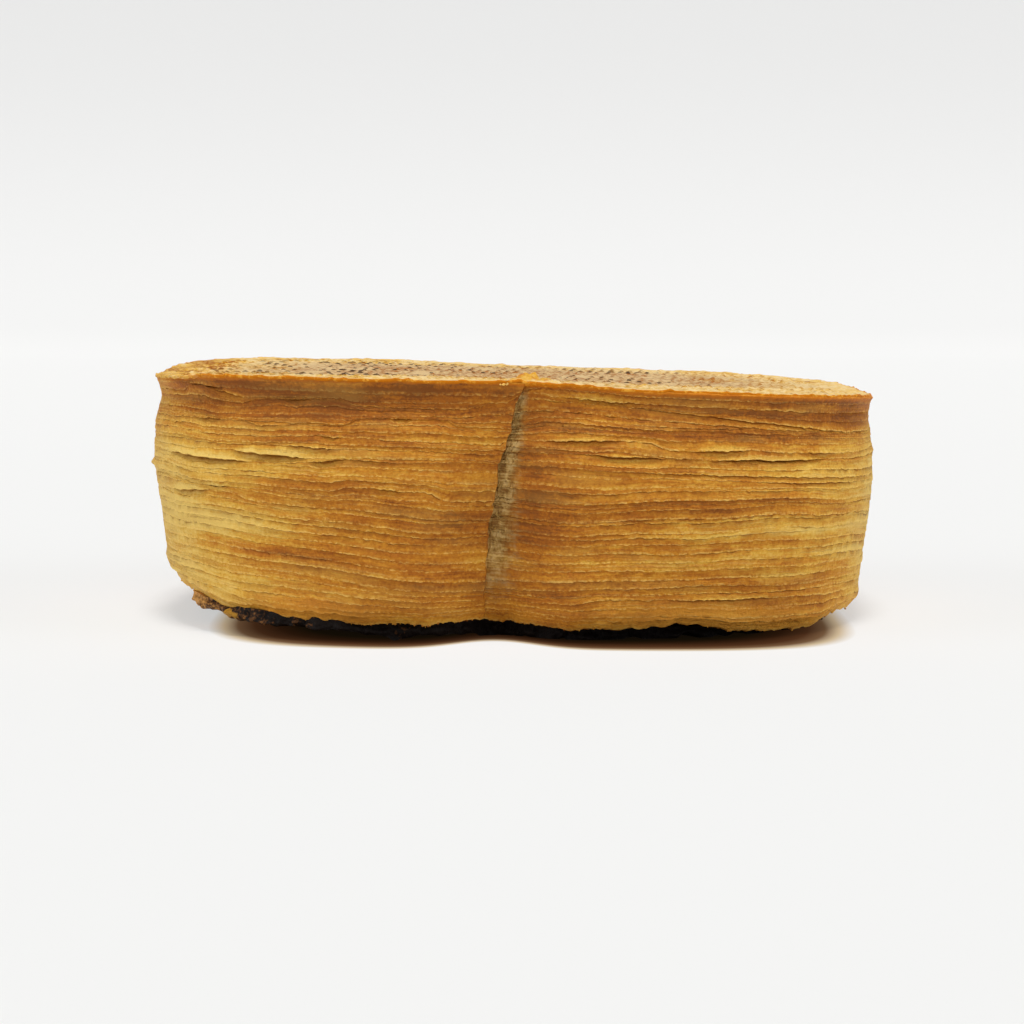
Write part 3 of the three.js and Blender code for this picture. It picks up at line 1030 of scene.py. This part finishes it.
def along_leaves(finish, place, around, across, detail=2.0, roughness=0.5):
    """Noise that runs along the leaves: slow round the tart, quick from leaf to leaf."""
    sockets = {
        "X": finish.axis(place, "X") * around,
        "Y": finish.axis(place, "Y") * around,
        "Z": finish.attribute("leaf") * across,
    }
    vector = finish.node("ShaderNodeCombineXYZ", None, sockets)
    return finish.noise(vector, detail=detail, roughness=roughness)


def wall_finish(colours):
    """Baked puff pastry: mottled leaves, pale lips partly painted as highlight, dark cracks deepened by
    painted shade, a foot paler with painted light and a grey strip the lap covered.
    """
    finish = Finish("baked_leaves", Specular_IOR_Level=0.1)
    place = finish.place()
    slow = along_leaves(finish, place, 26, 0.4)
    patches = along_leaves(finish, place, 95, 0.75)
    streaks = along_leaves(finish, place, 60, 2.4, detail=3.0)
    dashes = along_leaves(finish, place, 240, 3.2)
    lines = along_leaves(finish, place, 42, 5.5, roughness=0.6)
    hue = along_leaves(finish, place, 55, 0.6, detail=1.0)
    grain = finish.noise(place, 1250.0, 3.0, 0.65)
    beads = finish.noise(place, 1200.0, 1.0)
    mottle = finish.noise(place, 130.0, 3.0)
    lumps = finish.noise(place, 420.0)
    broad = ((slow, 0.5), (patches, 0.4), (streaks, 0.4))
    fine = ((lines, 0.4), (dashes, 0.45), (grain, 0.65), (mottle, 0.3))
    tone = finish.varied(finish.attribute("tone"), *broad, *fine)
    baked = finish.ramp(
        tone,
        (0.0, colours.straw),
        (0.3, colours.gold),
        (0.55, colours.amber),
        (0.8, colours.brown),
        (1.0, colours.umber),
    )
    left = 1 - finish.ease(finish.axis(place, "X"), -70 * MM, 10 * MM)
    dull = finish.ease(hue, 0.5 - 0.1 * left, 0.72) * (0.25 + left * 0.1)
    baked = finish.blend(dull, baked, colours.dull)
    baked = finish.blend(finish.ease(1 - hue, 0.5, 0.72) * 0.25, baked, colours.rust)
    bare = finish.attribute("bare")
    layered = finish.varied(0.5, (lines, 0.9), (lumps, 1.4), (grain, 0.8), (dashes, 1.0))
    covered = finish.ramp(layered, (0.28, colours.shade), (0.5, colours.olive), (0.75, colours.ash))
    uncovered = finish.ease(finish.varied(bare, (lumps, 0.6), (dashes, 0.6)), 0.1, 0.95)
    baked = finish.blend(uncovered * 0.85, baked, covered)
    # Painted light on the wall's foot, paler where its faces turn down
    baked = finish.blend(finish.attribute("low") * 0.75, baked, colours.painted_foot_light_colour)
    pale = finish.ease(1 - tone, 0.05, 0.6)
    hair = finish.ease(finish.varied(lines, (beads, 0.25)), 0.58, 0.68)
    baked = finish.blend(hair * pale * 0.4, baked, colours.cream)
    # Painted shade in fine hairline cracks between the leaves
    hairline_shade = 1 - finish.ease(finish.varied(lines, (beads, 0.3)), 0.3, 0.38)
    baked = finish.blend(hairline_shade * 0.4, baked, colours.crack)
    # Pale lips: partly paler flaky pastry, partly painted highlight where the lips catch the light
    pale_lips_and_highlight = finish.ease(finish.attribute("lip"), 0.1, 1.0)
    pale_lips_and_highlight = pale_lips_and_highlight * finish.ease(finish.varied(beads, (streaks, 0.6)), 0.36, 0.6)
    baked = finish.blend(pale_lips_and_highlight * (1 - bare * 0.5) * (0.15 + pale * 0.45), baked, colours.cream)
    # Painted shade inside the cracks under the lips
    crack_shade = finish.attribute("crack") * (0.45 + beads * 0.5)
    baked = finish.blend(crack_shade, baked, finish.blend(bare, colours.crack, colours.shade))
    drop = finish.varied(finish.attribute("drop"), (grain, 0.7), (lumps, 1.2))
    fried = finish.attribute("fried") * (1 - finish.ease(drop, 0.6, 1.15))
    crust = finish.ramp(
        0.4 + drop * 0.7,
        (0.0, colours.straw),
        (0.3, colours.honey),
        (0.6, colours.orange),
        (1.0, colours.rust),
    )
    height = streaks * 0.4 + lines * 1.0 + dashes * 0.5 + grain * 1.1 + beads * 0.6
    return finish.set_shader(
        Base_Color=finish.blend(fried, baked, crust),
        Roughness=0.5 + grain * 0.25,
        Normal=finish.bump(height, 0.6, 0.35 * MM),
    )


def browned_middle(finish, place, mottle, sizes):
    """The browned middle of the base, from 1 there to 0 on the margin."""
    stretch = (1 / sizes.brown_half_width, 1 / sizes.brown_half_depth, 0)
    centre = (0, sizes.brown_back / sizes.brown_half_depth, 0)
    scaled = finish.node("ShaderNodeMapping", None, {"Vector": place, "Scale": stretch})
    centred = finish.node("ShaderNodeVectorMath", {"operation": "SUBTRACT"}, {0: scaled, 1: centre})
    away = finish.node("ShaderNodeVectorMath", {"operation": "LENGTH"}, {0: centred}, "Value")
    return 1 - finish.ease(finish.varied(away, (mottle, 0.7)), 0.7, 1.15)


def base_finish(colours, sizes):
    """The mat-printed base: golden margin with painted light on its clumps, browned middle with a partly
    painted sheen, scorched pimples and a fried orange edge.
    """
    finish = Finish("printed_base", Specular_IOR_Level=0.02)
    place = finish.place()
    sideways = finish.axis(place, "X")
    grain = finish.noise(place, 1300.0, 2.0, 0.6)
    coarse = finish.noise(place, 520.0)
    mottle = finish.noise(place, 70.0, 3.0)
    cloud = finish.noise(place, 22.0, 1.0)
    middle = browned_middle(finish, place, mottle, sizes)
    tip = finish.attribute("print")
    # Painted light and shade on the margin: clump crests paler, hollows between them darker; the print's tips
    # browner
    crest_light_and_browned_tips = 0.45 - finish.attribute("crest") * 0.3 + (tip - 0.3) * 0.3
    rough = finish.varied(0, (grain, 2.0), (coarse, 2.6), (mottle, 1.8))
    far_left = 1 - finish.ease(sideways, -85 * MM, -60 * MM)
    margin = finish.ramp(
        crest_light_and_browned_tips + rough + far_left * 0.65,
        (0.0, colours.biscuit),
        (0.45, colours.wheat),
        (0.75, colours.gold),
        (1.0, colours.brown),
    )
    # The browned middle, its grey-mauve cast partly a painted sheen
    browned_middle_and_sheen = finish.ramp(
        crest_light_and_browned_tips + rough * 0.8,
        (0.0, colours.blush),
        (0.55, colours.mauve),
        (1.0, colours.brown),
    )
    pale = finish.ease(finish.varied(cloud, (coarse, 0.8)), 0.45, 0.7) * 0.4
    pale = pale * finish.ease(sideways, -40 * MM, 30 * MM)
    baked = finish.blend(middle, finish.blend(pale, margin, colours.blush), browned_middle_and_sheen)
    baked = finish.blend(finish.ease(tip, 0.3, 0.8) * 0.3, baked, colours.brown)
    hot = finish.varied(finish.attribute("scorch"), (mottle, 0.8), (cloud, 1.4)) - sideways * 3
    scorched = finish.ease(hot, 0.6, 0.72) * (0.1 + middle * 0.9)
    baked = finish.blend(scorched * 0.9, baked, colours.scorch)
    speckled = finish.ease(finish.varied(grain, (coarse, 0.8)), 0.5, 0.62) * finish.attribute("rim")
    baked = finish.blend(speckled * 0.8, baked, colours.cream)
    crisp = finish.ease(finish.varied(coarse, (grain, 0.6)), 0.5, 0.7)
    crust = finish.blend(crisp, colours.orange, colours.honey)
    baked = finish.blend(finish.ease(finish.attribute("edge"), 0.3, 0.75), baked, crust)
    smeared = finish.ease(finish.varied(finish.attribute("smear"), (coarse, 0.6), (grain, 0.4)), 0.3, 0.5)
    smear = finish.ramp(
        finish.varied(0.5, (coarse, 1.6), (grain, 1.4)),
        (0.2, colours.orange),
        (0.5, colours.custard),
        (1.0, colours.wheat),
    )
    return finish.set_shader(
        Base_Color=finish.blend(smeared * 0.9, baked, smear),
        Roughness=0.42 + grain * 0.3,
        Normal=finish.bump(grain * 0.6 + coarse * 1.2 + mottle * 0.3, 0.8, 0.5 * MM),
    )


def custard_finish(colours):
    """Scorched custard: crumbly brown skin, near black where scorched and darker still with painted shade
    where it lies back under the wall's foot, with orange custard showing at the edge.
    """
    finish = Finish("scorched_custard", Specular_IOR_Level=0.12)
    place = finish.place()
    patches = finish.noise(place, 150.0)
    spots = finish.noise(place, 480.0, 2.0, 0.6)
    grain = finish.noise(place, 1500.0)
    raw = finish.ease(finish.varied(finish.attribute("raw"), (spots, 0.8)), 0.45, 0.6)
    baked = finish.varied(0.2, (patches, 0.7), (spots, 0.9), (grain, 1.0))
    # The skin is scorched, and painted darker still as painted shade where it lies back under the wall's foot
    skin = finish.ramp(
        baked + finish.attribute("toast") * 0.8 - finish.attribute("hidden"),
        (0.2, colours.char),
        (0.45, colours.skin),
        (0.85, colours.crumb),
    )
    return finish.set_shader(
        Base_Color=finish.blend(raw * 0.42, skin, colours.custard),
        Roughness=0.5 + grain * 0.3,
        Normal=finish.bump(spots * 0.8 + grain * 0.4, 0.8, 0.6 * MM),
    )


def crumb_finish(colours):
    """Loose crumbs, from cream to brown."""
    finish = Finish("loose_crumbs", Specular_IOR_Level=0.3)
    grain = finish.noise(finish.place(), 1500.0, 1.0)
    browned = finish.varied(finish.attribute("shade"), (grain, 0.3))
    shade = finish.ramp(browned, (0.0, colours.cream), (0.45, colours.gold), (1.0, colours.brown))
    return finish.set_shader(Base_Color=shade, Roughness=0.6 + grain * 0.2)


class TART_OT_wall(bpy.types.Operator):
    """Build the wall of puff pastry with its leaves, slits and seam"""

    bl_idname = "tart.wall"
    bl_label = "Pastry Wall"

    def execute(self, context):
        rows = LeafRelief(context.scene).rows()
        stacked = {name: np.stack([row[name] for row in rows]) for name in rows[0]}
        points = stacked.pop("points")
        wall = grid_piece("flaky_wall", points, stacked)
        weld(wall)
        bpy.ops.object.shade_smooth_by_angle(angle=math.radians(WALL_SMOOTH))
        dress(wall, wall_finish(context.scene.tart_colours), "wall_pastry", "pastry_wall")
        return {"FINISHED"}


class TART_OT_base(bpy.types.Operator):
    """Build the pastry base with the print of the baking mat"""

    bl_idname = "tart.base"
    bl_label = "Pastry Base"

    def outline_grid(self, form, sizes):
        """A square grid drawn in to the base's outline: share of the way out, angle and radius."""
        line = np.linspace(-1, 1, sizes.cells + 1)
        x, y = np.meshgrid(line, line)
        power = form.plan.squareness
        to_square = np.maximum(np.abs(x), np.abs(y))
        to_round = (np.abs(x) ** power + np.abs(y) ** power) ** (1 / power)
        draw_in = np.divide(to_square, to_round, out=np.ones_like(x), where=to_round > 0)
        across = x * draw_in * form.plan.half_width
        along = y * draw_in * form.plan.half_depth
        angle = np.arctan2(across, -along)
        radius = np.hypot(across, along)
        dented = form.base_radius(angle) / form.plan_radius(angle)
        return to_square, angle, radius * mix(1, dented, to_square**4)

    def pimples(self, draws, sizes, x, y):
        """The mat's print, from 0 between pimples to 1 on the tallest, and where these can scorch."""
        cosine = math.cos(sizes.print_turn)
        sine = math.sin(sizes.print_turn)
        across = (x * cosine - y * sine) / sizes.pitch
        along = (x * sine + y * cosine) / sizes.pitch
        side = 128
        heights = draws.uniform(0.1, 1, (side, side))
        strays = draws.uniform(-0.14, 0.14, (2, side, side))
        column = np.floor(across).astype(int)
        row = np.floor(along).astype(int)
        stray_across, stray_along = strays[:, row % side, column % side]
        half_cell = 0.5
        off_across = across - column - half_cell - stray_across
        off_along = along - row - half_cell - stray_along
        from_tip = np.clip(np.hypot(off_across, off_along) / half_cell, 0, 1)
        shape = 0.5 + 0.5 * np.cos(math.pi * from_tip)
        tall = heights[row % side, column % side]
        return tall * shape, rise(tall, 0.66, 0.86) * np.sqrt(shape)

    def execute(self, context):
        scene = context.scene
        form = TartForm(scene)
        sizes = scene.tart_base
        draws = draws_of(sizes)
        outward, angle, radius = self.outline_grid(form, sizes)
        edge = rise(outward, 0.9, 1.0)
        radius = radius + sizes.ragged * curves(draws, angle, 1, (300, 1), (90, 1))[0] * edge
        flat = form.points(angle, radius, 0)
        x = flat[..., 0]
        y = flat[..., 1]

        def lumps(millimetres):
            return lumpy(draws, x, y, millimetres * MM)

        print_height, scorch = self.pimples(draws, sizes, x, y)
        printed = sizes.pimple * (print_height + 0.4 * scorch) * (1 - 0.85 * rise(outward, 0.8, 0.97))
        blisters = sizes.blister * (lumps(14) + 0.5 * lumps(5))
        sunk = 0.3 * sizes.pimple * (1 - edge)
        clumps = np.clip(lumps(1.5) + 0.7 * lumps(3), 0, 1.5)
        in_front = mix(1, 0.4, rise(y, -20 * MM, 40 * MM))
        near_edge = rise(outward, 0.6, 0.9) * in_front * (1 - 0.5 * edge)
        smear_x = form.middle_x + sizes.smear_aside
        smear_y = form.middle_y - form.plan.half_depth + sizes.smear_inside
        smear = hump(x - smear_x, sizes.smear_half_width) * hump(y - smear_y, sizes.smear_half_depth)
        height = form.top_height(angle, radius) + printed + blisters - sunk
        height = height + sizes.clump * clumps * mix(0.3, 1, near_edge)
        height = height + sizes.smear * smear * (1 + 0.9 * lumps(1.3))
        values = {
            "edge": form.fried(angle) * rise(outward, 0.985, 1.0),
            "smear": smear,
            "crest": clumps,
            "print": print_height,
            "scorch": scorch,
            "rim": rise(outward, 0.9, 0.97),
        }
        base = grid_piece("printed_base", np.stack([x, y, height], axis=-1), values)
        self.turn_down_edge(form, sizes)
        bpy.ops.object.shade_smooth_by_angle(angle=math.radians(SOFT_SMOOTH))
        dress(base, base_finish(scene.tart_colours, sizes), "base_pastry", "pastry_base")
        return {"FINISHED"}

    def turn_down_edge(self, form, sizes):
        """Extrudes the outline down and in, and closes the underside."""
        centre = (form.middle_x, form.middle_y, form.plan.rim_height)
        bpy.ops.object.mode_set(mode="EDIT")
        bpy.ops.mesh.select_mode(type="EDGE")
        bpy.ops.mesh.select_all(action="DESELECT")
        bpy.ops.mesh.select_non_manifold()
        half = sizes.thickness / 2
        for drop, scale in ((half, 1.002), (half, 0.999), (0.6 * MM, 0.985), (1 * MM, 0.9)):
            down = {"value": (0, 0, -drop)}
            bpy.ops.mesh.extrude_edges_move(TRANSFORM_OT_translate=down)
            bpy.ops.transform.resize(value=(scale, scale, 1), center_override=centre)
        bpy.ops.mesh.extrude_edges_move()
        bpy.ops.mesh.merge(type="CENTER")
        bpy.ops.mesh.select_all(action="SELECT")
        bpy.ops.mesh.normals_make_consistent(inside=False)
        bpy.ops.object.mode_set(mode="OBJECT")


class CustardRows:
    """Rows of points over the custard, from the middle of its underside out, up and over the top."""

    def __init__(self, scene):
        self.form = TartForm(scene)
        self.sizes = scene.tart_custard
        self.angle = column_angles(self.sizes.columns, scene.tart_leaves.crowding)
        self.under_foot = self.form.foot(self.angle) - self.form.plan.gap
        self.raw = humps_round(self.angle, RAW_SPOTS)
        self.draw_edge()

    def draw_edge(self):
        """Draws the edge of the skin: how far out it lies, how high, how it is baked and where painted shade
        darkens it.
        """
        sizes = self.sizes
        angle = self.angle
        draws = draws_of(sizes)
        ragged, tatters = (curves(draws, angle, 1, *layers)[0] for layers in EDGE_LAYERS)
        starts = rise(angle, sizes.flush_start - 0.08, sizes.flush_start + 0.08)
        ends = rise(angle, sizes.flush_end - 0.2, sizes.flush_end + 0.2)
        flush = starts * (1 - ends)
        blob = hump(turn_between(sizes.blob_angle, angle), sizes.blob_spread)
        self.toast = 1 - rise(angle, sizes.curl_angle, sizes.curl_angle + 0.48)
        # Painted shade: the skin is painted darker where it lies back under the wall's foot
        self.hidden = 1 - flush - 0.8 * blob
        back = mix(-0.8, 0.6, flush) * MM - sizes.set_back * (1 - flush)
        lumps = sizes.ragged * ragged + sizes.swell * self.toast * flush + sizes.blob * blob
        self.edge = self.form.wall_radius(angle, 0) + back + lumps
        curled = hump(turn_between(sizes.curl_angle, angle), sizes.curl_spread)
        low = mix(mix(sizes.front_rise, sizes.rise, flush), sizes.curl, curled) * self.under_foot
        low = low + 0.9 * sizes.lumps * tatters
        self.low = np.clip(low, 0.1 * MM, self.under_foot - 0.6 * MM)

    def underside(self):
        """Rings of points from the middle to the edge of the skin."""
        sizes = self.sizes
        for part in np.linspace(0, 1, sizes.rings + 1):
            outer = rise(part, sizes.rest_share, 1)
            flat = self.form.points(self.angle, part * self.edge, 0)
            bumps = lumpy(draws_of(sizes, 1), flat[..., 0], flat[..., 1], 4 * MM)
            height = self.low * outer**2 + 0.4 * sizes.lumps * bumps * outer * (1 - outer)
            yield self.form.points(self.angle, part * self.edge, np.clip(height, 0, None)), 0

    def side(self):
        """Rows up the crumbly end of the skin, with how raw they are."""
        sizes = self.sizes
        along = self.angle * self.form.plan.half_depth
        for step in range(1, sizes.side_rows + 1):
            part = step / sizes.side_rows
            up = mix(self.low, self.under_foot + 0.35 * MM, part)
            rough = lumpy(draws_of(sizes, 2), along, up, 2.6 * MM)
            rough = rough + 0.8 * lumpy(draws_of(sizes, 3), along, up, 1.1 * MM)
            swell = math.sin(math.pi * min(part + 0.1, 0.85))
            out = sizes.lumps * (0.5 + rough) * swell - 0.3 * MM * part
            out = out + sizes.raw_bulge * self.raw * math.sin(math.pi * part)
            yield self.form.points(self.angle, self.edge + out, up), float(hump(part - 0.35, 0.4))

    def inside(self):
        """Rows up the inside of the wall and in to the middle under the base."""
        form = self.form
        below_base = CUSTARD_UNDER_BASE + form.plan.gap
        radius = form.inner_radius(self.angle) - form.plan.gap
        yield form.points(self.angle, radius, self.under_foot), 1
        yield form.points(self.angle, radius, form.top_height(self.angle, radius) - below_base), 1
        yield form.points(self.angle, 0 * radius, form.plan.rim_height - below_base), 1

    def rows(self):
        """All rows of points, and the values of each kind at them."""
        rows = [*self.underside(), *self.side(), *self.inside()]
        points = np.stack([row for row, _ in rows])
        values = {
            "raw": np.stack([self.raw * amount for _, amount in rows]),
            "hidden": np.stack([self.hidden] * len(rows)),
            "toast": np.stack([self.toast] * len(rows)),
        }
        return points, values


class TART_OT_custard(bpy.types.Operator):
    """Build the custard with its scorched skin underneath"""

    bl_idname = "tart.custard"
    bl_label = "Custard"

    def execute(self, context):
        points, values = CustardRows(context.scene).rows()
        custard = grid_piece("custard_skin", points, values)
        weld(custard)
        bpy.ops.object.shade_smooth_by_angle(angle=math.radians(SOFT_SMOOTH))
        dress(custard, custard_finish(context.scene.tart_colours), "custard", "custard")
        return {"FINISHED"}


class TART_OT_crumbs(bpy.types.Operator):
    """Scatter grains and crumbs over the lips, the foot and the base"""

    bl_idname = "tart.crumbs"
    bl_label = "Crumbs"

    def spots(self, scene, draws):
        """Where crumbs stick, how large they are and how browned."""
        sizes = scene.tart_crumbs
        relief = LeafRelief(scene)
        form = relief.form
        columns = len(relief.columns)
        lips = [relief.leaf_rows(leaf)[1]["points"] for leaf in range(relief.sizes.leaves)]
        for _ in range(sizes.on_lips):
            point = lips[draws.integers(1, len(lips))][draws.integers(0, columns)]
            size = draws.uniform(sizes.smallest, 0.6 * sizes.largest)
            yield point, size, draws.uniform(0.3, 0.8)
        for _ in range(sizes.on_foot):
            point = lips[0][draws.integers(0, columns)] + draws.uniform(-0.15, 0.15, 3) * MM
            size = draws.uniform(sizes.smallest, sizes.largest) * sizes.foot_factor * draws.uniform(0.4, 1)
            point[2] = max(point[2], size)
            yield point, size, draws.uniform(0.5, 1.0)
        for _ in range(sizes.flake_grains):
            angle = math.radians(draws.uniform(-2.7, -0.9))
            radius = form.base_radius(angle)
            height = form.top_height(angle, radius) - draws.uniform(-0.4, 0.8) * MM
            size = draws.uniform(0.5, 1) * sizes.flake
            yield form.points(angle, radius, height), size, draws.uniform(0, 0.15)
        for _ in range(sizes.on_base):
            angle = draws.uniform(0, WHOLE_TURN)
            radius = form.base_radius(angle) * draws.uniform(0.7, 0.99)
            height = form.top_height(angle, radius) - CRUMB_SINK
            size = draws.uniform(sizes.smallest, sizes.largest)
            yield form.points(angle, radius, height), size, draws.uniform(0, 0.7)

    def execute(self, context):
        scene = context.scene
        draws = draws_of(scene.tart_crumbs)
        bpy.ops.object.select_all(action="DESELECT")
        bpy.ops.mesh.primitive_ico_sphere_add(subdivisions=1, radius=1)
        crumbs = context.object
        crumbs.name = "loose_crumbs"
        corners = np.array([vertex.co for vertex in crumbs.data.vertices])
        faces = np.array([face.vertices for face in crumbs.data.polygons])
        points = []
        triangles = []
        shades = []
        for spot, size, shade in self.spots(scene, draws):
            stretch = draws.uniform(0.6, 1.3, 3) * size
            rough = corners * draws.uniform(0.75, 1.2, (len(corners), 1))
            triangles.append(faces + len(points) * len(corners))
            points.append(rough * stretch + spot)
            shades.append(np.full(len(corners), shade))
        mesh = bpy.data.meshes.new("loose_crumbs")
        mesh.from_pydata(np.concatenate(points), [], np.concatenate(triangles))
        set_values(mesh, {"shade": np.concatenate(shades)})
        crumbs.data = mesh
        dress(crumbs, crumb_finish(scene.tart_colours), "wall_pastry")
        return {"FINISHED"}


class TART_OT_stage(bpy.types.Operator):
    """Set up the floor, the light and the camera"""

    bl_idname = "tart.stage"
    bl_label = "Stage"

    def execute(self, context):
        scene = context.scene
        stage = scene.tart_stage
        self.make_floor(scene, stage)
        self.make_light(scene, stage)
        self.make_camera(scene, stage)
        scene.view_settings.view_transform = "Standard"
        return {"FINISHED"}

    def painted_shade_under_tart(self, finish, place, scene):
        """How much of the floor's colour and glow the painted shade under the tart leaves."""
        stage = scene.tart_stage
        seam = scene.tart_seam
        form = TartForm(scene)
        x = finish.axis(place, "X") - form.middle_x
        y = finish.axis(place, "Y") - form.middle_y
        to_crease = (x - seam.crease_place) * (1 / seam.crease_spread)
        in_front = 1 - finish.ease(y, -50 * MM, 0)
        crease = finish.maths("EXPONENT", to_crease * to_crease * -1) * stage.shade_crease * in_front
        across = finish.maths("ABSOLUTE", x - stage.shade_aside) * (1 / stage.shade_half_width)
        ahead = y + stage.shade_forward - crease + x * stage.shade_lean
        along = finish.maths("ABSOLUTE", ahead) * (1 / stage.shade_half_depth)
        power = stage.shade_squareness
        outline = (across**power + along**power) ** (1 / power)
        border = PAINTED_SHADE_STOPS[-2][0]
        softer = 1 + finish.maths("MINIMUM", across, 1) ** 4 * stage.shade_soft
        return finish.ramp(border + (outline - border) / softer, *PAINTED_SHADE_STOPS)

    def floor_finish(self, scene, stage):
        """A pale floor that glows for part of its brightness, a painted light that lifts the shadows round
        the tart, and that lies in painted shade under the tart.
        """
        finish = Finish("pale_floor", Roughness=0.6, Specular_IOR_Level=0.0, Emission_Strength=stage.glow)
        place = finish.place()
        up = finish.axis(place, "Z") * (1 / stage.backdrop_height)
        back = finish.axis(place, "Y")
        swept = finish.ease(back, 0.8, 2.6) * 0.18 + finish.ease(up, -0.02, 0.08) * 0.25
        swept = swept + finish.ease(up, -0.25, 1) * 0.57
        pale = finish.blend(swept, stage.floor_colour, stage.backdrop_colour)
        painted_glow = finish.blend(1.0, pale, self.painted_shade_under_tart(finish, place, scene), "MULTIPLY")
        lit = finish.blend(1 - stage.glow, (0, 0, 0), painted_glow)
        return finish.set_shader(Base_Color=lit, Emission_Color=painted_glow)

    def make_floor(self, scene, stage):
        """A floor that sweeps up behind into a backdrop."""
        size = stage.floor_size
        bpy.ops.object.select_all(action="DESELECT")
        bpy.ops.mesh.primitive_plane_add(size=size, location=(0, size / 6, 0))
        floor = bpy.context.object
        floor.name = "floor_sweep"
        bpy.ops.object.transform_apply(location=True, rotation=False, scale=False)
        bpy.ops.object.mode_set(mode="EDIT")
        bpy.ops.mesh.select_mode(type="EDGE")
        bpy.ops.mesh.select_all(action="DESELECT")
        bpy.ops.object.mode_set(mode="OBJECT")
        for edge in floor.data.edges:
            ends = [floor.data.vertices[index].co.y for index in edge.vertices]
            edge.select = min(ends) > size / 2
        bpy.ops.object.mode_set(mode="EDIT")
        bpy.ops.mesh.extrude_edges_move(TRANSFORM_OT_translate={"value": (0, 0, size / 2)})
        bpy.ops.object.mode_set(mode="OBJECT")
        sweep = floor.modifiers.new("sweep", "BEVEL")
        sweep.width = size / 5
        sweep.segments = 24
        bpy.ops.object.modifier_apply(modifier=sweep.name)
        bpy.ops.object.shade_smooth()
        floor.data.materials.append(self.floor_finish(scene, stage))

    def make_light(self, scene, stage):
        """A little light from all round, a steep one above and broad ones in front and at the sides."""
        world = bpy.data.worlds.new("soft_room")
        world.use_nodes = True
        world.node_tree.nodes["Background"].inputs["Color"].default_value = (1, 1, 1, 1)
        world.node_tree.nodes["Background"].inputs["Strength"].default_value = stage.sky
        scene.world = world
        side = (stage.side_strength, stage.side_height, stage.side_breadth)
        for name, turn, strength, height, breadth in (
            ("light_above", 0, stage.top_strength, stage.top_height, stage.top_breadth),
            ("light_front", 0, stage.front_strength, stage.front_height, stage.front_breadth),
            ("light_left", -stage.side_angle, *side),
            ("light_right", stage.side_angle, *side),
        ):
            bpy.ops.object.light_add(type="SUN", rotation=(math.pi / 2 - height, 0, turn))
            light = bpy.context.object
            light.name = name
            light.data.energy = strength
            light.data.angle = breadth

    def make_camera(self, scene, stage):
        """A camera in front of the tart, as the photo was taken."""
        form = TartForm(scene)
        x = form.middle_x + stage.camera_aside
        y = form.middle_y - stage.camera_distance
        turn = (math.pi / 2 - stage.camera_pitch, 0, 0)
        bpy.ops.object.camera_add(location=(x, y, stage.camera_height), rotation=turn)
        camera = bpy.context.object
        camera.name = "photo_view"
        camera.data.lens = stage.lens
        camera.data.clip_start = 0.05
        camera.data.clip_end = 50
        scene.camera = camera


class TART_PT_panel(bpy.types.Panel):
    """Lists the steps that build the tart"""

    bl_label = "Custard Tart"
    bl_idname = "TART_PT_panel"
    bl_space_type = "VIEW_3D"
    bl_region_type = "UI"
    bl_category = "Tart"

    def draw(self, context):
        for operator in OPERATORS:
            self.layout.operator(operator.bl_idname)


GROUPS = {
    "tart_plan": TartPlan,
    "tart_seam": TartSeam,
    "tart_leaves": TartLeaves,
    "tart_base": TartBase,
    "tart_custard": TartCustard,
    "tart_crumbs": TartCrumbs,
    "tart_colours": TartColours,
    "tart_stage": TartStage,
}
OPERATORS = (TART_OT_stage, TART_OT_wall, TART_OT_base, TART_OT_custard, TART_OT_crumbs)


def register():
    for name, group in GROUPS.items():
        bpy.utils.register_class(group)
        setattr(bpy.types.Scene, name, PointerProperty(type=group))
    for made in (*OPERATORS, TART_PT_panel):
        bpy.utils.register_class(made)


def unregister():
    for made in (TART_PT_panel, *reversed(OPERATORS)):
        bpy.utils.unregister_class(made)
    for name, group in reversed(GROUPS.items()):
        delattr(bpy.types.Scene, name)
        bpy.utils.unregister_class(group)


def main():
    register()
    bpy.ops.tart.stage()
    bpy.ops.tart.wall()
    bpy.ops.tart.base()
    bpy.ops.tart.custard()
    bpy.ops.tart.crumbs()


if __name__ == "__main__":
    main()
